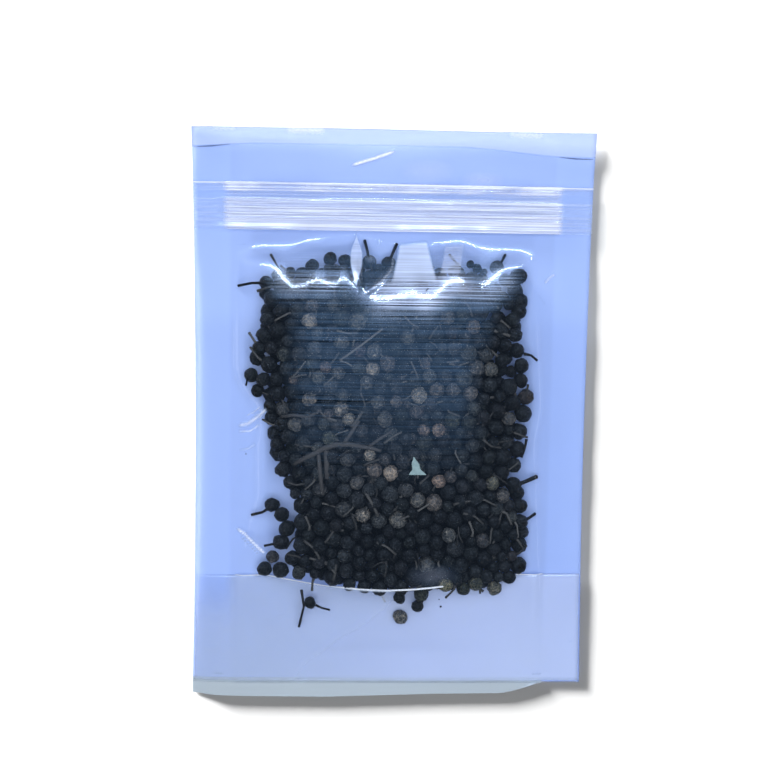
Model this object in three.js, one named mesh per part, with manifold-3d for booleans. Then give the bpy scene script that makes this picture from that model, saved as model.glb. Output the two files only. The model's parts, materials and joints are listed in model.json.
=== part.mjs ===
// A clear stand-up pouch with a press-to-close top, filled with dried cubeb pepper and sealed, lying on
// its back. The pouch is one solid, because its sheets are welded round what fills it: thin flat seals
// down both sides, a mouth with tear slits, the swell of the filled pocket with the berries that press
// against the film, the folded-in foot, and the back sheet's edge that shows below the front one.
// The press-to-close strip is a second solid, laid in a channel across the pouch.
//
// Millimetres, +Z up. X runs across the pouch and +Y towards its mouth. The drawing frame has its origin
// in the middle of the front sheet; the finished group is moved so that the origin lies on the table
// under the middle of the whole outline.

import * as THREE from "three";
import { mergeVertices } from "three/addons/utils/BufferGeometryUtils.js";
import Module from "manifold-3d";

const { smoothstep, lerp } = THREE.MathUtils;

// ---- Driving dimensions ----

const SHEET_WIDTH = 100; // front sheet, seal to seal
const SHEET_HEIGHT = 140;
const HALF_WIDTH = SHEET_WIDTH / 2;
const HALF_HEIGHT = SHEET_HEIGHT / 2;
const SIDE_SEAL = 10; // width of the welded band down each side
const WAIST = 0.9; // how far the filled pocket draws each long edge in
const SEAL_THICK = 0.3; // two sheets welded together
const POCKET_SLACK = 0.35; // air between the sheets where nothing fills them
const POCKET_HALF = HALF_WIDTH - SIDE_SEAL;

const TOP_SEAL = 3.5; // weld along the mouth
const TEAR_UP = 65; // height of the tear slits on the sheet
const TEAR_LONG = 9.5;
const TEAR_WIDE = 0.45;

const STRIP_LOW = 45; // press-to-close strip, from here
const STRIP_HIGH = 57; // to here
const STRIP_TAPE = 0.45; // thickness of its flat tape
const STRIP_INSET = 1.4; // the tape stops this far inside the long edges
const RAIL_LONG = 84; // the ribs are crushed flat where the side seals cross them
const RAIL_CORNERS = 8;
const RIBS = [
  // height on the sheet, radius
  [55.9, 0.28],
  [51.7, 0.62],
  [50.2, 0.75],
  [48.7, 0.55],
  [47.2, 0.3],
  [45.9, 0.3],
];
const CHANNEL_WEB = 0.25; // the back sheet under the strip
const GAP = 0.3; // clearance between the two solids

const FOOT_FOLD = -41; // the foot is folded in up to this line
const FOOT_LAYERS = 0.35; // what its two extra sheets add
const LIP_DROP = 4; // the back sheet's edge shows this far below the front one
const LIP_THICK = 0.3;

const BERRY = 4.0; // cubeb, across
const BERRY_UNEVEN = 0.12; // share by which a berry may be larger or smaller
const BERRY_APART = 0.93; // nearest centres, as a share of BERRY
const BERRY_SIDES = 5;
const BERRY_TRIES = 5200;
const STRAY_PROUD = 1.2; // how far a berry in the foot pushes the sheet up
const FILM_SKIN = 0.12; // film over the highest point of a berry
const CORE_SUNK = 1.8; // the core's surface lies this far below the film among the berries
const BERRY_TILT = 0.4; // radians that a berry may lean, so that no two show the same facets
const STRAYS = [[2.6, -46.4], [7.3, -48.4], [-19.9, -48.4], [3, -52.3]]; // fallen into the folded foot
const STALK_LONG = 5.2;
const STALK_THICK = 0.75;
const STALK_SIDES = 5;
const STALK_COUNT = 20;

const SWELL = 10.4; // height that the contents give the front sheet
const SWELL_MID = -4; // middle of the heap along Y
const SWELL_HEAD = 44.3; // the sheet is down again here, just under the strip
const SWELL_FOOT = -62; // and here, over the folded foot
const LIFT = 0.9; // the flat parts are held this far off the table
const LIFT_BESIDE = 0.4; // more of it along the side seals, halfway up
const SEED = 20;

// Edge of the heap, anticlockwise from its upper left corner: the corners and the notches of its outline.
const HEAP_EDGE = [
  [-32, 34], [-32.5, 22], [-36, 10], [-31.5, 1], [-29, -13], [-25.5, -21], [-30.5, -28], [-33, -38.5],
  [-20, -42], [-4, -45.5], [12, -45], [29, -44], [34.5, -38], [35, -25], [33, -14], [35, 1],
  [32, 18], [33, 33], [20, 35.5], [1, 38.5], [-17, 36.5],
].map(([x, y]) => new THREE.Vector2(x, y));

// ---- Solids ----

const wasm = await Module();
wasm.setup();

function toSolid(geometry) {
  const bare = geometry.clone();
  bare.deleteAttribute("normal");
  bare.deleteAttribute("uv");
  const merged = mergeVertices(bare, 1e-4);
  return new wasm.Manifold(
    new wasm.Mesh({
      numProp: 3,
      vertProperties: new Float32Array(merged.attributes.position.array),
      triVerts: new Uint32Array(merged.index.array),
    }),
  );
}

function toGeometry(solid) {
  const { vertProperties, triVerts } = solid.getMesh();
  const geometry = new THREE.BufferGeometry();
  geometry.setAttribute("position", new THREE.BufferAttribute(vertProperties, 3));
  geometry.setIndex(new THREE.BufferAttribute(triVerts, 1));
  geometry.computeVertexNormals();
  return geometry;
}

// Repeatable random numbers from 0 to 1.
function randomFrom(seed) {
  let state = seed >>> 0;
  return () => {
    state = (state + 0x6d2b79f5) >>> 0;
    let t = Math.imul(state ^ (state >>> 15), 1 | state);
    t = (t + Math.imul(t ^ (t >>> 7), 61 | t)) ^ t;
    return ((t ^ (t >>> 14)) >>> 0) / 4294967296;
  };
}

// ---- The heap's outline ----

const heapRing = new THREE.SplineCurve([...HEAP_EDGE, HEAP_EDGE[0]]).getPoints(84).slice(0, -1);

// Distance from (x, y) to the heap's edge, positive inside it.
function insideHeap(x, y) {
  let nearest = Infinity;
  let inside = false;
  heapRing.forEach((a, i) => {
    const b = heapRing[(i + 1) % heapRing.length];
    const along = ((x - a.x) * (b.x - a.x) + (y - a.y) * (b.y - a.y)) / a.distanceToSquared(b);
    const t = Math.min(1, Math.max(0, along));
    nearest = Math.min(nearest, Math.hypot(x - lerp(a.x, b.x, t), y - lerp(a.y, b.y, t)));
    if (a.y > y !== b.y > y && x < lerp(a.x, b.x, (y - a.y) / (b.y - a.y))) inside = !inside;
  });
  return inside ? nearest : -nearest;
}

// ---- Heights of the pouch over the table ----

// 1 over the middle of the heap, 0 along the seals, the strip and the foot. It leaves the side seals at a
// sharp angle, and runs out softly towards the stiff strip and over the foot.
function swell(x, y) {
  const across = 1 - Math.min(1, Math.abs(x) / POCKET_HALF) ** 2;
  const up = Math.min(1, Math.max(0, y - SWELL_MID) / (SWELL_HEAD - SWELL_MID));
  const down = Math.min(1, Math.max(0, SWELL_MID - y) / (SWELL_MID - SWELL_FOOT));
  return across ** 0.7 * (1 - up ** 5.5) ** 1.8 * (1 - down ** 3.4) ** 1.5;
}

// The flat parts are held off the table: the heap draws the long seals up beside it, and the mouth curls
// up in two shallow waves. The strip is stiff and lies level.
function lift(x, y) {
  const beside = smoothstep(Math.abs(x), 24, 42) * (1 - (y / HALF_HEIGHT) ** 2) * smoothstep(-y, -44, -30);
  const curl = smoothstep(y, STRIP_HIGH + 1, HALF_HEIGHT);
  return LIFT + LIFT_BESIDE * beside + curl * (0.6 + 0.5 * Math.cos((2 * Math.PI * (x + 8)) / 62));
}

function underside(x, y) {
  return lift(x, y) * (1 - smoothstep(swell(x, y), 0.2, 0.45));
}

function filmHeight(x, y) {
  const inPocket = smoothstep(POCKET_HALF + 0.5 - Math.abs(x), 0, 2.5);
  const belowTopSeal = smoothstep(HALF_HEIGHT - TOP_SEAL - y, 0, 2);
  const onFoot = smoothstep(FOOT_FOLD - y, -2, 2);
  const sheets = SEAL_THICK + inPocket * belowTopSeal * POCKET_SLACK + onFoot * FOOT_LAYERS;
  return lift(x, y) + sheets + SWELL * swell(x, y);
}

function coreHeight(x, y) {
  return filmHeight(x, y) - CORE_SUNK * smoothstep(insideHeap(x, y), -0.5, 1.5);
}

// ---- Pieces of the pouch ----

// Lines from the first stop to the last, with the given number of steps to each next stop.
function gridLines(stops) {
  return stops.flatMap(([at, steps], i) => {
    if (i === stops.length - 1) return [at];
    return Array.from({ length: steps }, (_, k) => lerp(at, stops[i + 1][0], k / steps));
  });
}

// A closed slab on a grid of lines, its two faces lifted to the pouch's heights and its long edges drawn in.
function filledSheet() {
  const xs = gridLines([[-HALF_WIDTH, 2], [-POCKET_HALF, 3], [-32, 5], [32, 3], [POCKET_HALF, 2], [HALF_WIDTH]]);
  const ys = gridLines([
    [-HALF_HEIGHT, 3], [-56, 3], [-46, 7], [34, 3], [STRIP_LOW, 1], [STRIP_HIGH, 3],
    [HALF_HEIGHT - TOP_SEAL, 1], [HALF_HEIGHT],
  ]);
  const slab = new THREE.BoxGeometry(1, 1, 1, xs.length - 1, ys.length - 1, 1);
  const at = slab.attributes.position;
  for (let i = 0; i < at.count; i++) {
    const x = xs[Math.round((at.getX(i) + 0.5) * (xs.length - 1))];
    const y = ys[Math.round((at.getY(i) + 0.5) * (ys.length - 1))];
    const height = at.getZ(i) > 0 ? coreHeight(x, y) : underside(x, y);
    const drawnIn = 1 - (WAIST / HALF_WIDTH) * (1 - (y / HALF_HEIGHT) ** 2);
    at.setXYZ(i, x * drawnIn, y, height);
  }
  return toSolid(slab);
}

// The back sheet's edge below the front sheet, cut away towards the right-hand corner.
function backLip() {
  const top = -HALF_HEIGHT + 1;
  const low = -HALF_HEIGHT - LIP_DROP;
  const outline = new THREE.Shape()
    .moveTo(-HALF_WIDTH, top)
    .lineTo(-HALF_WIDTH, low + 1.5)
    .quadraticCurveTo(-34, low, -4, low)
    .quadraticCurveTo(26, low, 32, low + 1.6)
    .quadraticCurveTo(35, low + 3.4, 40, top)
    .closePath();
  const lip = new THREE.ExtrudeGeometry(outline, { depth: LIP_THICK, bevelEnabled: false, curveSegments: 8 });
  return toSolid(lip.translate(0, 0, lift(0, -HALF_HEIGHT)));
}

// A shrunken berry as a low-sided ball, blunt underneath where it is sunk in the core.
function berryBall({ x, y, z, radius, turn, lean }) {
  const side = [
    [0, -0.5], [1, -0.1], [0.7, 0.72], [0, 1],
  ].map(([r, h]) => new THREE.Vector2(r * radius, h * radius));
  const ball = new THREE.LatheGeometry(side, BERRY_SIDES);
  return ball.rotateX(Math.PI / 2).rotateZ(turn).rotateX(lean.x).rotateY(lean.y).translate(x, y, z);
}

// A berry of chance size, turn and lean under the film at (x, y).
function berryAt(x, y, random) {
  const either = () => 2 * random() - 1;
  const radius = (BERRY / 2) * (1 + BERRY_UNEVEN * either());
  const lean = { x: BERRY_TILT * either(), y: BERRY_TILT * either() };
  return { x, y, z: filmHeight(x, y) - FILM_SKIN - radius, radius, lean, turn: Math.PI * random() };
}

// Where the berries lie: each new one keeps clear of those already there.
function scatterBerries(random) {
  const placed = [];
  for (let i = 0; i < BERRY_TRIES; i++) {
    const berry = berryAt(lerp(-POCKET_HALF, POCKET_HALF, random()), lerp(-48, 41, random()), random);
    const clear = placed.every(
      (b) => Math.hypot(b.x - berry.x, b.y - berry.y) > BERRY_APART * (b.radius + berry.radius),
    );
    if (clear && insideHeap(berry.x, berry.y) > berry.radius * 0.8) placed.push(berry);
  }
  return placed;
}

// The stalk on a berry: a thin tapering rod that leaves it sideways, along the film.
function stalkRod(berry, heading) {
  const rod = new THREE.CylinderGeometry(STALK_THICK * 0.36, STALK_THICK * 0.62, STALK_LONG, STALK_SIDES);
  const out = new THREE.Vector2(Math.cos(heading), Math.sin(heading));
  const start = berry.radius * 0.7;
  const tip = new THREE.Vector2(berry.x, berry.y).addScaledVector(out, start + STALK_LONG);
  const low = berry.z + berry.radius * 0.35;
  const high = Math.max(filmHeight(tip.x, tip.y) - STALK_THICK * 0.4, STALK_THICK);
  const from = new THREE.Vector3(berry.x + out.x * start, berry.y + out.y * start, low);
  const to = new THREE.Vector3(tip.x, tip.y, high);
  const way = to.clone().sub(from).normalize();
  rod.applyQuaternion(new THREE.Quaternion().setFromUnitVectors(new THREE.Vector3(0, 1, 0), way));
  return rod.translate(...from.add(to).multiplyScalar(0.5).toArray());
}

function fillPouch(random) {
  const berries = scatterBerries(random);
  const outer = berries.filter((b) => insideHeap(b.x, b.y) < BERRY);
  const step = Math.max(1, Math.floor(outer.length / STALK_COUNT));
  const stalks = outer
    .filter((b, i) => i % step === 0)
    .map((b) => {
      const outwards = Math.atan2(b.y - SWELL_MID, b.x);
      return toSolid(stalkRod(b, outwards + 1.1 * (2 * random() - 1)));
    });
  const strays = STRAYS.map(([x, y]) => {
    const berry = berryAt(x, y, random);
    return { ...berry, z: berry.z + STRAY_PROUD };
  });
  return [...[...berries, ...strays].map((b) => toSolid(berryBall(b))), ...stalks];
}

function tearSlit(side) {
  const slit = new THREE.BoxGeometry(TEAR_LONG, TEAR_WIDE, 12);
  return toSolid(slit.translate(side * (HALF_WIDTH - TEAR_LONG / 2 + 0.2), TEAR_UP, 0));
}

// The room that the strip lies in, open above and at both ends.
function stripChannel() {
  const floor = lift(0, STRIP_LOW) + CHANNEL_WEB;
  const room = new THREE.BoxGeometry(SHEET_WIDTH + 10, STRIP_HIGH - STRIP_LOW + 2 * GAP, 10);
  return toSolid(room.translate(0, (STRIP_LOW + STRIP_HIGH) / 2, floor + 5));
}

function pouch() {
  const random = randomFrom(SEED);
  const whole = wasm.Manifold.union([filledSheet(), backLip(), ...fillPouch(random)]);
  const channel = stripChannel();
  return [channel, tearSlit(-1), tearSlit(1)].reduce((left, cut) => left.subtract(cut), whole);
}

// ---- The press-to-close strip ----

// A flat tape with ribs along it: the two hooked rails that press together, and thinner grip ribs.
function closingStrip() {
  const low = lift(0, STRIP_LOW) + CHANNEL_WEB + GAP;
  const wide = STRIP_HIGH - STRIP_LOW;
  const tape = new THREE.BoxGeometry(SHEET_WIDTH - 2 * STRIP_INSET, wide, STRIP_TAPE);
  tape.translate(0, STRIP_LOW + wide / 2, low + STRIP_TAPE / 2);
  const ribs = RIBS.map(([y, radius]) => {
    const rib = new THREE.CapsuleGeometry(radius, RAIL_LONG - 2 * radius, 2, RAIL_CORNERS);
    return toSolid(rib.rotateZ(Math.PI / 2).translate(0, y, low + Math.max(radius, STRIP_TAPE)));
  });
  return wasm.Manifold.union([toSolid(tape), ...ribs]);
}

// ---- The two pieces, each with its material ----

const film = new THREE.MeshStandardMaterial({ color: 0xaebff5, roughness: 0.25, metalness: 0 });
const strip = new THREE.MeshStandardMaterial({ color: 0xc4d0fa, roughness: 0.3, metalness: 0 });

const group = new THREE.Group();
for (const [name, solid, material] of [
  ["pouch", pouch(), film],
  ["closing_strip", closingStrip(), strip],
]) {
  const mesh = new THREE.Mesh(toGeometry(solid), material);
  mesh.name = name;
  group.add(mesh);
}

// The origin goes on the table, under the middle of the outline.
const box = new THREE.Box3().setFromObject(group);
const middle = box.getCenter(new THREE.Vector3());
group.position.set(-middle.x, -middle.y, -box.min.z);

export default group;
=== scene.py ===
# %% [markdown]
# # A clear press-to-close pouch of dried cubeb
#
# The object is a small stand-up pouch of clear film, filled with dried cubeb (a pepper berry that keeps
# its stalk), shut, and lying on its back. It has five things to get right: the film, which is nearly
# invisible where it lies on the berries and pale violet-blue where sheet lies on sheet; the creases and
# ridges in it, which catch the light as white lines; the ribbed closing strip; the berries, which are
# wrinkled, nearly black and none alike; and the stalks and twigs between them.
#
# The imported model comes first, because every piece is placed by it. The model's pouch is one solid, so
# here it is replaced by film and contents.

# %% Load the frame
import json
import math

import bmesh
import bpy
import numpy as np
from mathutils import Matrix, Quaternion, Vector, noise

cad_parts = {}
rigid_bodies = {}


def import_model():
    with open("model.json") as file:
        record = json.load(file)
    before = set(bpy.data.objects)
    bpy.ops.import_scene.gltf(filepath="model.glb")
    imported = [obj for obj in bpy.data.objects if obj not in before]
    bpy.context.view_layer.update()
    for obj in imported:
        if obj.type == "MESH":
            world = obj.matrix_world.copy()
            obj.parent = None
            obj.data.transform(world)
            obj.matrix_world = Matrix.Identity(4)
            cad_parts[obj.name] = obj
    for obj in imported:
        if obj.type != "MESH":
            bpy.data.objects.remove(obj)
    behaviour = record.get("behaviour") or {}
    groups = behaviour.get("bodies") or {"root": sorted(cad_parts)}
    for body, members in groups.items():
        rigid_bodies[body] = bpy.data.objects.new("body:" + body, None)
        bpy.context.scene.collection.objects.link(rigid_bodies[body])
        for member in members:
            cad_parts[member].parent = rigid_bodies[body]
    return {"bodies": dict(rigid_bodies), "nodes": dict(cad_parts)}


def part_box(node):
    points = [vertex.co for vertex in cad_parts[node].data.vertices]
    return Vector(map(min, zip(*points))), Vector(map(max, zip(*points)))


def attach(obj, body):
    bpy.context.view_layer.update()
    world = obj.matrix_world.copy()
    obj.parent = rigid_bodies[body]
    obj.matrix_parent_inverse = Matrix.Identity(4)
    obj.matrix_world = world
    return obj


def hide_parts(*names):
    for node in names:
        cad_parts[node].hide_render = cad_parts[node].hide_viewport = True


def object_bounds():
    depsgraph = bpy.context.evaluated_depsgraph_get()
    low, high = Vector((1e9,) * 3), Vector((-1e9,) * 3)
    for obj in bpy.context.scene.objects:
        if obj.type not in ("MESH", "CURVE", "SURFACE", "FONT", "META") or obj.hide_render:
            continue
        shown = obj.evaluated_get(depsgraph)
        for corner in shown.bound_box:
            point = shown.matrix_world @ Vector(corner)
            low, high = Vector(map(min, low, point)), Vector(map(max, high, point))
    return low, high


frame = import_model()
cad_box = [list(corner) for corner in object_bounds()]
print("nodes:", sorted(frame["nodes"]), "box in metres:", cad_box)

# %% [markdown]
# Everything below is worked out in millimetres on the front sheet, with the origin in the sheet's middle,
# X across and Y towards the mouth. The model's own origin lies a little lower, because the back sheet
# shows below the front one, so every finished mesh is shifted by that much when it becomes metres.

# %% Driving sizes, from the frame
MM = 0.001
pouch_low, pouch_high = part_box("pouch")
strip_low, strip_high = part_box("closing_strip")
HALF_WIDTH = (pouch_high.x - pouch_low.x) / 2 / MM
HALF_HEIGHT = 1.4 * HALF_WIDTH
SHEET_SHIFT = pouch_high.y / MM - HALF_HEIGHT  # the sheet's middle, along Y in the frame
STRIP_LOW, STRIP_HIGH = (end.y / MM - SHEET_SHIFT for end in (strip_low, strip_high))
STRIP_REACH = strip_high.x / MM
STRIP_UNDER = strip_low.z / MM
SIDE_SEAL = 0.2 * HALF_WIDTH
POCKET_HALF = HALF_WIDTH - SIDE_SEAL

print("sheet", 2 * HALF_WIDTH, "by", 2 * HALF_HEIGHT, "mm, strip from", STRIP_LOW, "to", STRIP_HIGH)

# %% [markdown]
# ## How high the film lies
#
# The front sheet is a stiff cushion over the heap. It leaves the side seals at a sharp angle, is nearly
# level over the middle, turns down over a shoulder, and runs out against the strip and over the folded
# foot. A height for every point of the sheet is the simplest true description of that, and it gives
# every other piece something to lie under.
#
# The shoulder and the toe of that slope aren't straight. The berries push them about, and the light draws
# both as bright wavy lines, so each has its own line here.

# %% Lines that shape the film
SWELL = 10.4  # how far the heap raises the front sheet
SWELL_MID, SWELL_FOOT = -4.0, -62.0  # where along Y it is highest, and where it ends
LIFT, LIFT_BESIDE = 0.9, 0.4  # how far the flat parts are off the table, and how much more beside the heap
SHOULDER_MEAN = 31.0
SHOULDER = [
    (-40, 35), (-32, 34.6), (-29.6, 32.8), (-26.5, 31.6), (-20, 32.7), (-16, 32), (-12.6, 33.8),
    (-9, 30), (-6.5, 29), (-3, 29.8), (1, 31), (5, 31.2), (7.6, 29.8), (10, 31.2), (13, 32.8),
    (16, 32.5), (21.5, 31), (25, 31), (28, 33), (31, 34.5), (40, 35),
]
TOE_BACK = 1.5  # the sheet is flat this far past the toe's bright line
TOE = [
    (-40, 41.9), (-34.6, 41.9), (-29.6, 41.5), (-25, 41.7), (-20.4, 43.1), (-14, 43.4), (-9.3, 44.2),
    (-4, 42.4), (0, 41.7), (6, 42.6), (10.4, 41.9), (16.5, 43.3), (21.2, 41.9), (27.7, 41.5),
    (34.6, 41.9), (40, 41.9),
]
# Where the film comes down to the flat beside the heap, as Y and distance from the middle
LEFT_TOE = [
    (-70, 40), (-44, 39.5), (-37, 38), (-29, 36.5), (-22, 34.5), (-9, 34.8), (-1, 33.6), (4, 37.5),
    (10, 40.5), (70, 40),
]
RIGHT_TOE = [
    (-70, 40), (-40, 39.6), (-18, 38.6), (-8, 37.8), (2, 39.5), (18, 38), (30, 37), (38, 37.5), (70, 40),
]


def smooth(value, low, high):
    """0 below low, 1 above high, and soft at both ends."""
    t = np.clip((value - low) / (high - low), 0, 1)
    return t * t * (3 - 2 * t)


def window(value, start, full, fading, end):
    """0 outside start and end, 1 between full and fading."""
    return smooth(value, start, full) * smooth(-value, -end, -fading)


def along_line(line, x, round_off=1.5):
    """Height of a chosen line at x, with its corners rounded off."""
    xs, ys = zip(*line)
    steps = np.linspace(-round_off, round_off, 7)
    return sum(np.interp(x + step, xs, ys) for step in steps) / len(steps)


print("shoulder wanders by", max(y for _, y in SHOULDER) - min(y for _, y in SHOULDER), "mm")

# %% Heights of the film
FILM_PAIR = 0.3  # two sheets welded together
SLACK = 0.35  # how far the sheets part where nothing is between them
FOOT_FOLD = -41.0
TOP_SEAL = 3.5


def lift(x, y):
    """How far the flat parts are held off the table."""
    beside = smooth(np.abs(x), 24, 42) * (1 - (y / HALF_HEIGHT) ** 2) * smooth(-y, -44, -30)
    curl = smooth(y, STRIP_HIGH + 1, HALF_HEIGHT) * (0.35 + 0.3 * np.cos(2 * np.pi * (x + 8) / 62))
    droop = 0.75 * smooth(-x, HALF_WIDTH - 7, HALF_WIDTH)  # the left edge lies on the table
    return LIFT + LIFT_BESIDE * beside + curl - droop


def swell(x, y):
    """1 over the middle of the heap, 0 along the seals, the strip and the foot."""
    near_shoulder = smooth(y, 14, 27) * (1 - smooth(y, 36, 42))
    moved = y - (along_line(SHOULDER, x) - SHOULDER_MEAN) * near_shoulder
    head = along_line(TOE, x) + TOE_BACK
    up = np.clip((moved - SWELL_MID) / (head - SWELL_MID), 0, 1)
    down = np.clip((SWELL_MID - y) / (SWELL_MID - SWELL_FOOT), 0, 1)
    edge = np.where(np.asarray(x) < 0, along_line(LEFT_TOE, y, 2.5), along_line(RIGHT_TOE, y, 2.5))
    across = 1 - np.clip(np.abs(x) / edge, 0, 1) ** 2
    return across**0.7 * (1 - up**5.5) ** 1.8 * (1 - down**3.4) ** 1.5


def underside(x, y):
    """Height of the back sheet: on the table under the heap, and held off it round about."""
    by_head = smooth(y, 26, 33)  # the heap ends more steeply there
    pressed = smooth(swell(x, y), 0.2 - 0.12 * by_head, 0.45 - 0.2 * by_head)
    return lift(x, y) * (1 - pressed) + 0.03


def cushion(x, y):
    """Height of the front sheet without its creases."""
    pocket = smooth(POCKET_HALF + 0.5 - np.abs(x), 0, 2.5) * smooth(HALF_HEIGHT - TOP_SEAL - y, 0, 2)
    folded = smooth(FOOT_FOLD - y, -2, 2)
    return lift(x, y) + FILM_PAIR + SLACK * (pocket + folded) + SWELL * swell(x, y)


print("film over the middle of the heap:", round(float(cushion(0.0, SWELL_MID)), 2), "mm up")

# %% [markdown]
# ## Creases
#
# A crease is a narrow ridge like a tent, that rises and dies away along a line. Its flank is flat, so all
# of it mirrors the same lamp at once, which is why a crease shows as a white feather or streak. A flank
# that should shine leans about 22 degrees towards the mouth, where the lamp is: that settles its
# height from its width. Along each crease the film is also painted white, from every side: partly the
# whitening of hard-creased film, partly a painted highlight for the crease's glint. Each crease here is
# a short list of points with a width, a height and a whiteness, which is that painted white.

# %% Ridges in the front sheet
# The last column is white painted along the crease: partly the film's whitening, partly a painted highlight.
CREASES = [  # points, half width, height, and how white the film has gone there
    ([(-39.6, -3.8), (-36.4, -3.1), (-33.6, -1.0), (-31.0, 1.6)], 1.15, 0.56, 0.5),
    ([(-39.4, -5.2), (-35.8, -5.0), (-33.2, -3.0)], 0.6, 0.27, 0.5),
    ([(-37.4, -1.4), (-34.9, -0.2), (-32.9, 1.8)], 0.5, 0.25, 0.45),
    ([(-39.2, -9.9), (-36.8, -9.6), (-34.2, -8.2)], 0.7, 0.24, 0.4),
    ([(-38.2, -15.5), (-35.6, -16.2)], 0.6, 0.14, 0.15),
    ([(-39.7, -29.4), (-35.6, -32.3), (-31.0, -35.9)], 0.9, 0.48, 0.62),
    ([(-38.9, -31.6), (-35.4, -34.1), (-32.6, -36.2)], 0.5, 0.25, 0.4),
    ([(38.2, 32.6), (39.6, 34.2), (41.4, 35.6)], 1.0, 0.42, 0.45),
    ([(35.8, 30.8), (37.6, 29.2), (39.2, 27.2)], 1.2, 0.5, 0.2),
    ([(-11.4, 60.9), (-5, 62.9), (0.6, 64.9)], 0.8, 0.36, 0.7),
    ([(-39.8, 41.2), (-36.6, 41.4)], 0.5, 0.2, 0.3),
    ([(-3.9, 41.2), (-3.6, 43.2)], 0.5, 0.2, 0.5),
    ([(-6.8, 29.8), (-2.9, 32.9), (-0.6, 35.6), (0.4, 41.2)], 0.9, 0.3, 0.3),
    ([(-16.2, 43.2), (-16.6, 40.6), (-16.0, 37.6)], 0.8, 0.16, 0.15),
    ([(11.2, 43.0), (10.9, 39.4), (10.2, 35.6)], 0.7, 0.24, 0.2),
    ([(-16.5, -42.7), (-13.5, -43.1), (-8.5, -43.9), (-0.8, -44.1), (3.5, -43.8)], 0.6, 0.3, 0.4),
    ([(-46.0, -67.3), (-42.0, -67.6)], 0.6, 0.25, 0.4),
    ([(-45.6, -69.0), (-42.6, -68.8)], 0.5, 0.2, 0.35),
    ([(37.0, -67.8), (40.4, -67.5)], 0.6, 0.25, 0.35),
    ([(45.8, -58.4), (48.6, -59.2)], 0.5, 0.2, 0.3),
    ([(-27.5, 69.4), (-16.5, 69.4)], 1.6, 0.12, 0.4),
    ([(27.5, 69.3), (37.5, 69.2)], 1.5, 0.12, 0.34),
    ([(-45.5, 69.6), (-38.4, 69.6)], 1.2, 0.1, 0.32),
]


def ridge(x, y, points, half_width, height):
    """Height that one crease adds at each x, y."""
    points = np.array(points, float)
    starts, steps = points[:-1], np.diff(points, axis=0)
    lengths = np.hypot(*steps.T)
    before = np.concatenate([[0], np.cumsum(lengths)[:-1]])
    nearest = np.full(np.shape(x), np.inf)
    part = np.zeros(np.shape(x))
    for start, step, length, gone in zip(starts, steps, lengths, before):
        t = np.clip(((x - start[0]) * step[0] + (y - start[1]) * step[1]) / length**2, 0, 1)
        away = np.hypot(x - start[0] - t * step[0], y - start[1] - t * step[1])
        closer = away < nearest
        nearest = np.where(closer, away, nearest)
        part = np.where(closer, (gone + t * length) / lengths.sum(), part)
    rise = smooth(np.sin(np.pi * np.clip(part, 0.01, 0.99)), -0.1, 0.5)
    return height * rise * np.clip(1 - nearest / half_width, 0, 1)


# %% Two dents by the strip
def tall_dent(x, y):
    """The narrow upright lozenge left of the middle, like a tent with a sharp ridge."""
    centre = np.interp(y, [29, 37, 45], [-7.6, -9.3, -9.3])
    half = np.interp(y, [29.5, 37, 41, 45], [0.05, 1.6, 1.1, 0.05])
    return 0.75 * np.clip(1 - np.abs(x - centre) / (half + 0.05), 0, 1) * smooth(half, 0.05, 0.8)


def wide_dent(x, y):
    """The flat pane right of the middle, which tips the sheet towards the strip."""
    inside = window(x, 0.2, 1.6, 8.8, 10.2) * window(y, 34.2, 36, 41.5, 43)
    return -0.05 * inside * (y - 38.5)


WAVES = np.random.default_rng(4).uniform(size=(9, 3))  # for each wave: its turn, its size, its phase


def ripple(x, y):
    """Slow unevenness of a stiff film, longer across the pouch than along it."""
    total = np.zeros(np.shape(x))
    for turn, size, phase in WAVES:
        heading, length = (turn - 0.5) * 1.3 + np.pi / 2, 7 + 12 * size
        way = 0.45 * x * np.cos(heading) + y * np.sin(heading)
        total += 0.012 * (0.5 + size) * np.sin(2 * np.pi * (way / length + phase))
    return total


def front(x, y):
    height = cushion(x, y) + tall_dent(x, y) + wide_dent(x, y) + ripple(x, y)
    for points, half_width, rise, _ in CREASES:
        height = height + ridge(x, y, points, half_width, rise)
    return height


def whitened(x, y):
    """How white the film is painted along its creases, from 0 to 1: partly crease whitening, partly a painted
    highlight.
    """
    ridges = [ridge(x, y, points, half_width, white) for points, half_width, _, white in CREASES]
    return sum(ridges).clip(0, 1)


def rubbed(x, y):
    """How much painted glow the film carries where it turns down over the shoulder, from 0 to 1: a painted
    highlight round the lamp's bright line there.
    """
    above = y - along_line(SHOULDER, x) + 0.6
    reach = 3.2 + 1.5 * window(x, -10, -5, 11, 16)  # it runs further down over the middle
    band = np.exp(-((above / np.where(above > 0, 3.8, reach)) ** 2))
    right = window(x, -9, 0, 28, 34) * (1 - 0.5 * smooth(x, 12, 22))
    left = window(x, -33, -28, -15, -9)
    return band * (right + 0.4 * left)


print(len(CREASES), "creases, the highest", max(c[2] for c in CREASES), "mm")

# %% [markdown]
# ## The heap
#
# The berries fill the pouch in two to three layers. The heap's outline is uneven, so it is a closed curve
# through its corners and notches. The berries that stand out at the edge, and the pale ones, give the
# heap its face, so they have chosen places. The rest are dropped at random and then pushed apart, again
# and again, until none overlap much: a few lines of arithmetic do this faster than a rigid body
# simulation, and give the same result each time.

# %% Outline of the heap
HEAP_CORNERS = [
    (-32, 34), (-32.5, 22), (-36, 10), (-31.5, 1), (-29, -13), (-24.4, -21.5), (-23.8, -30), (-25, -37),
    (-30, -39.5), (-20, -42), (-4, -45.5), (12, -45), (29, -44), (34.5, -38), (35, -25), (33, -14), (35, 1),
    (32, 18), (33, 33), (20, 35.5), (1, 38.5), (-17, 36.5),
]


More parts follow.
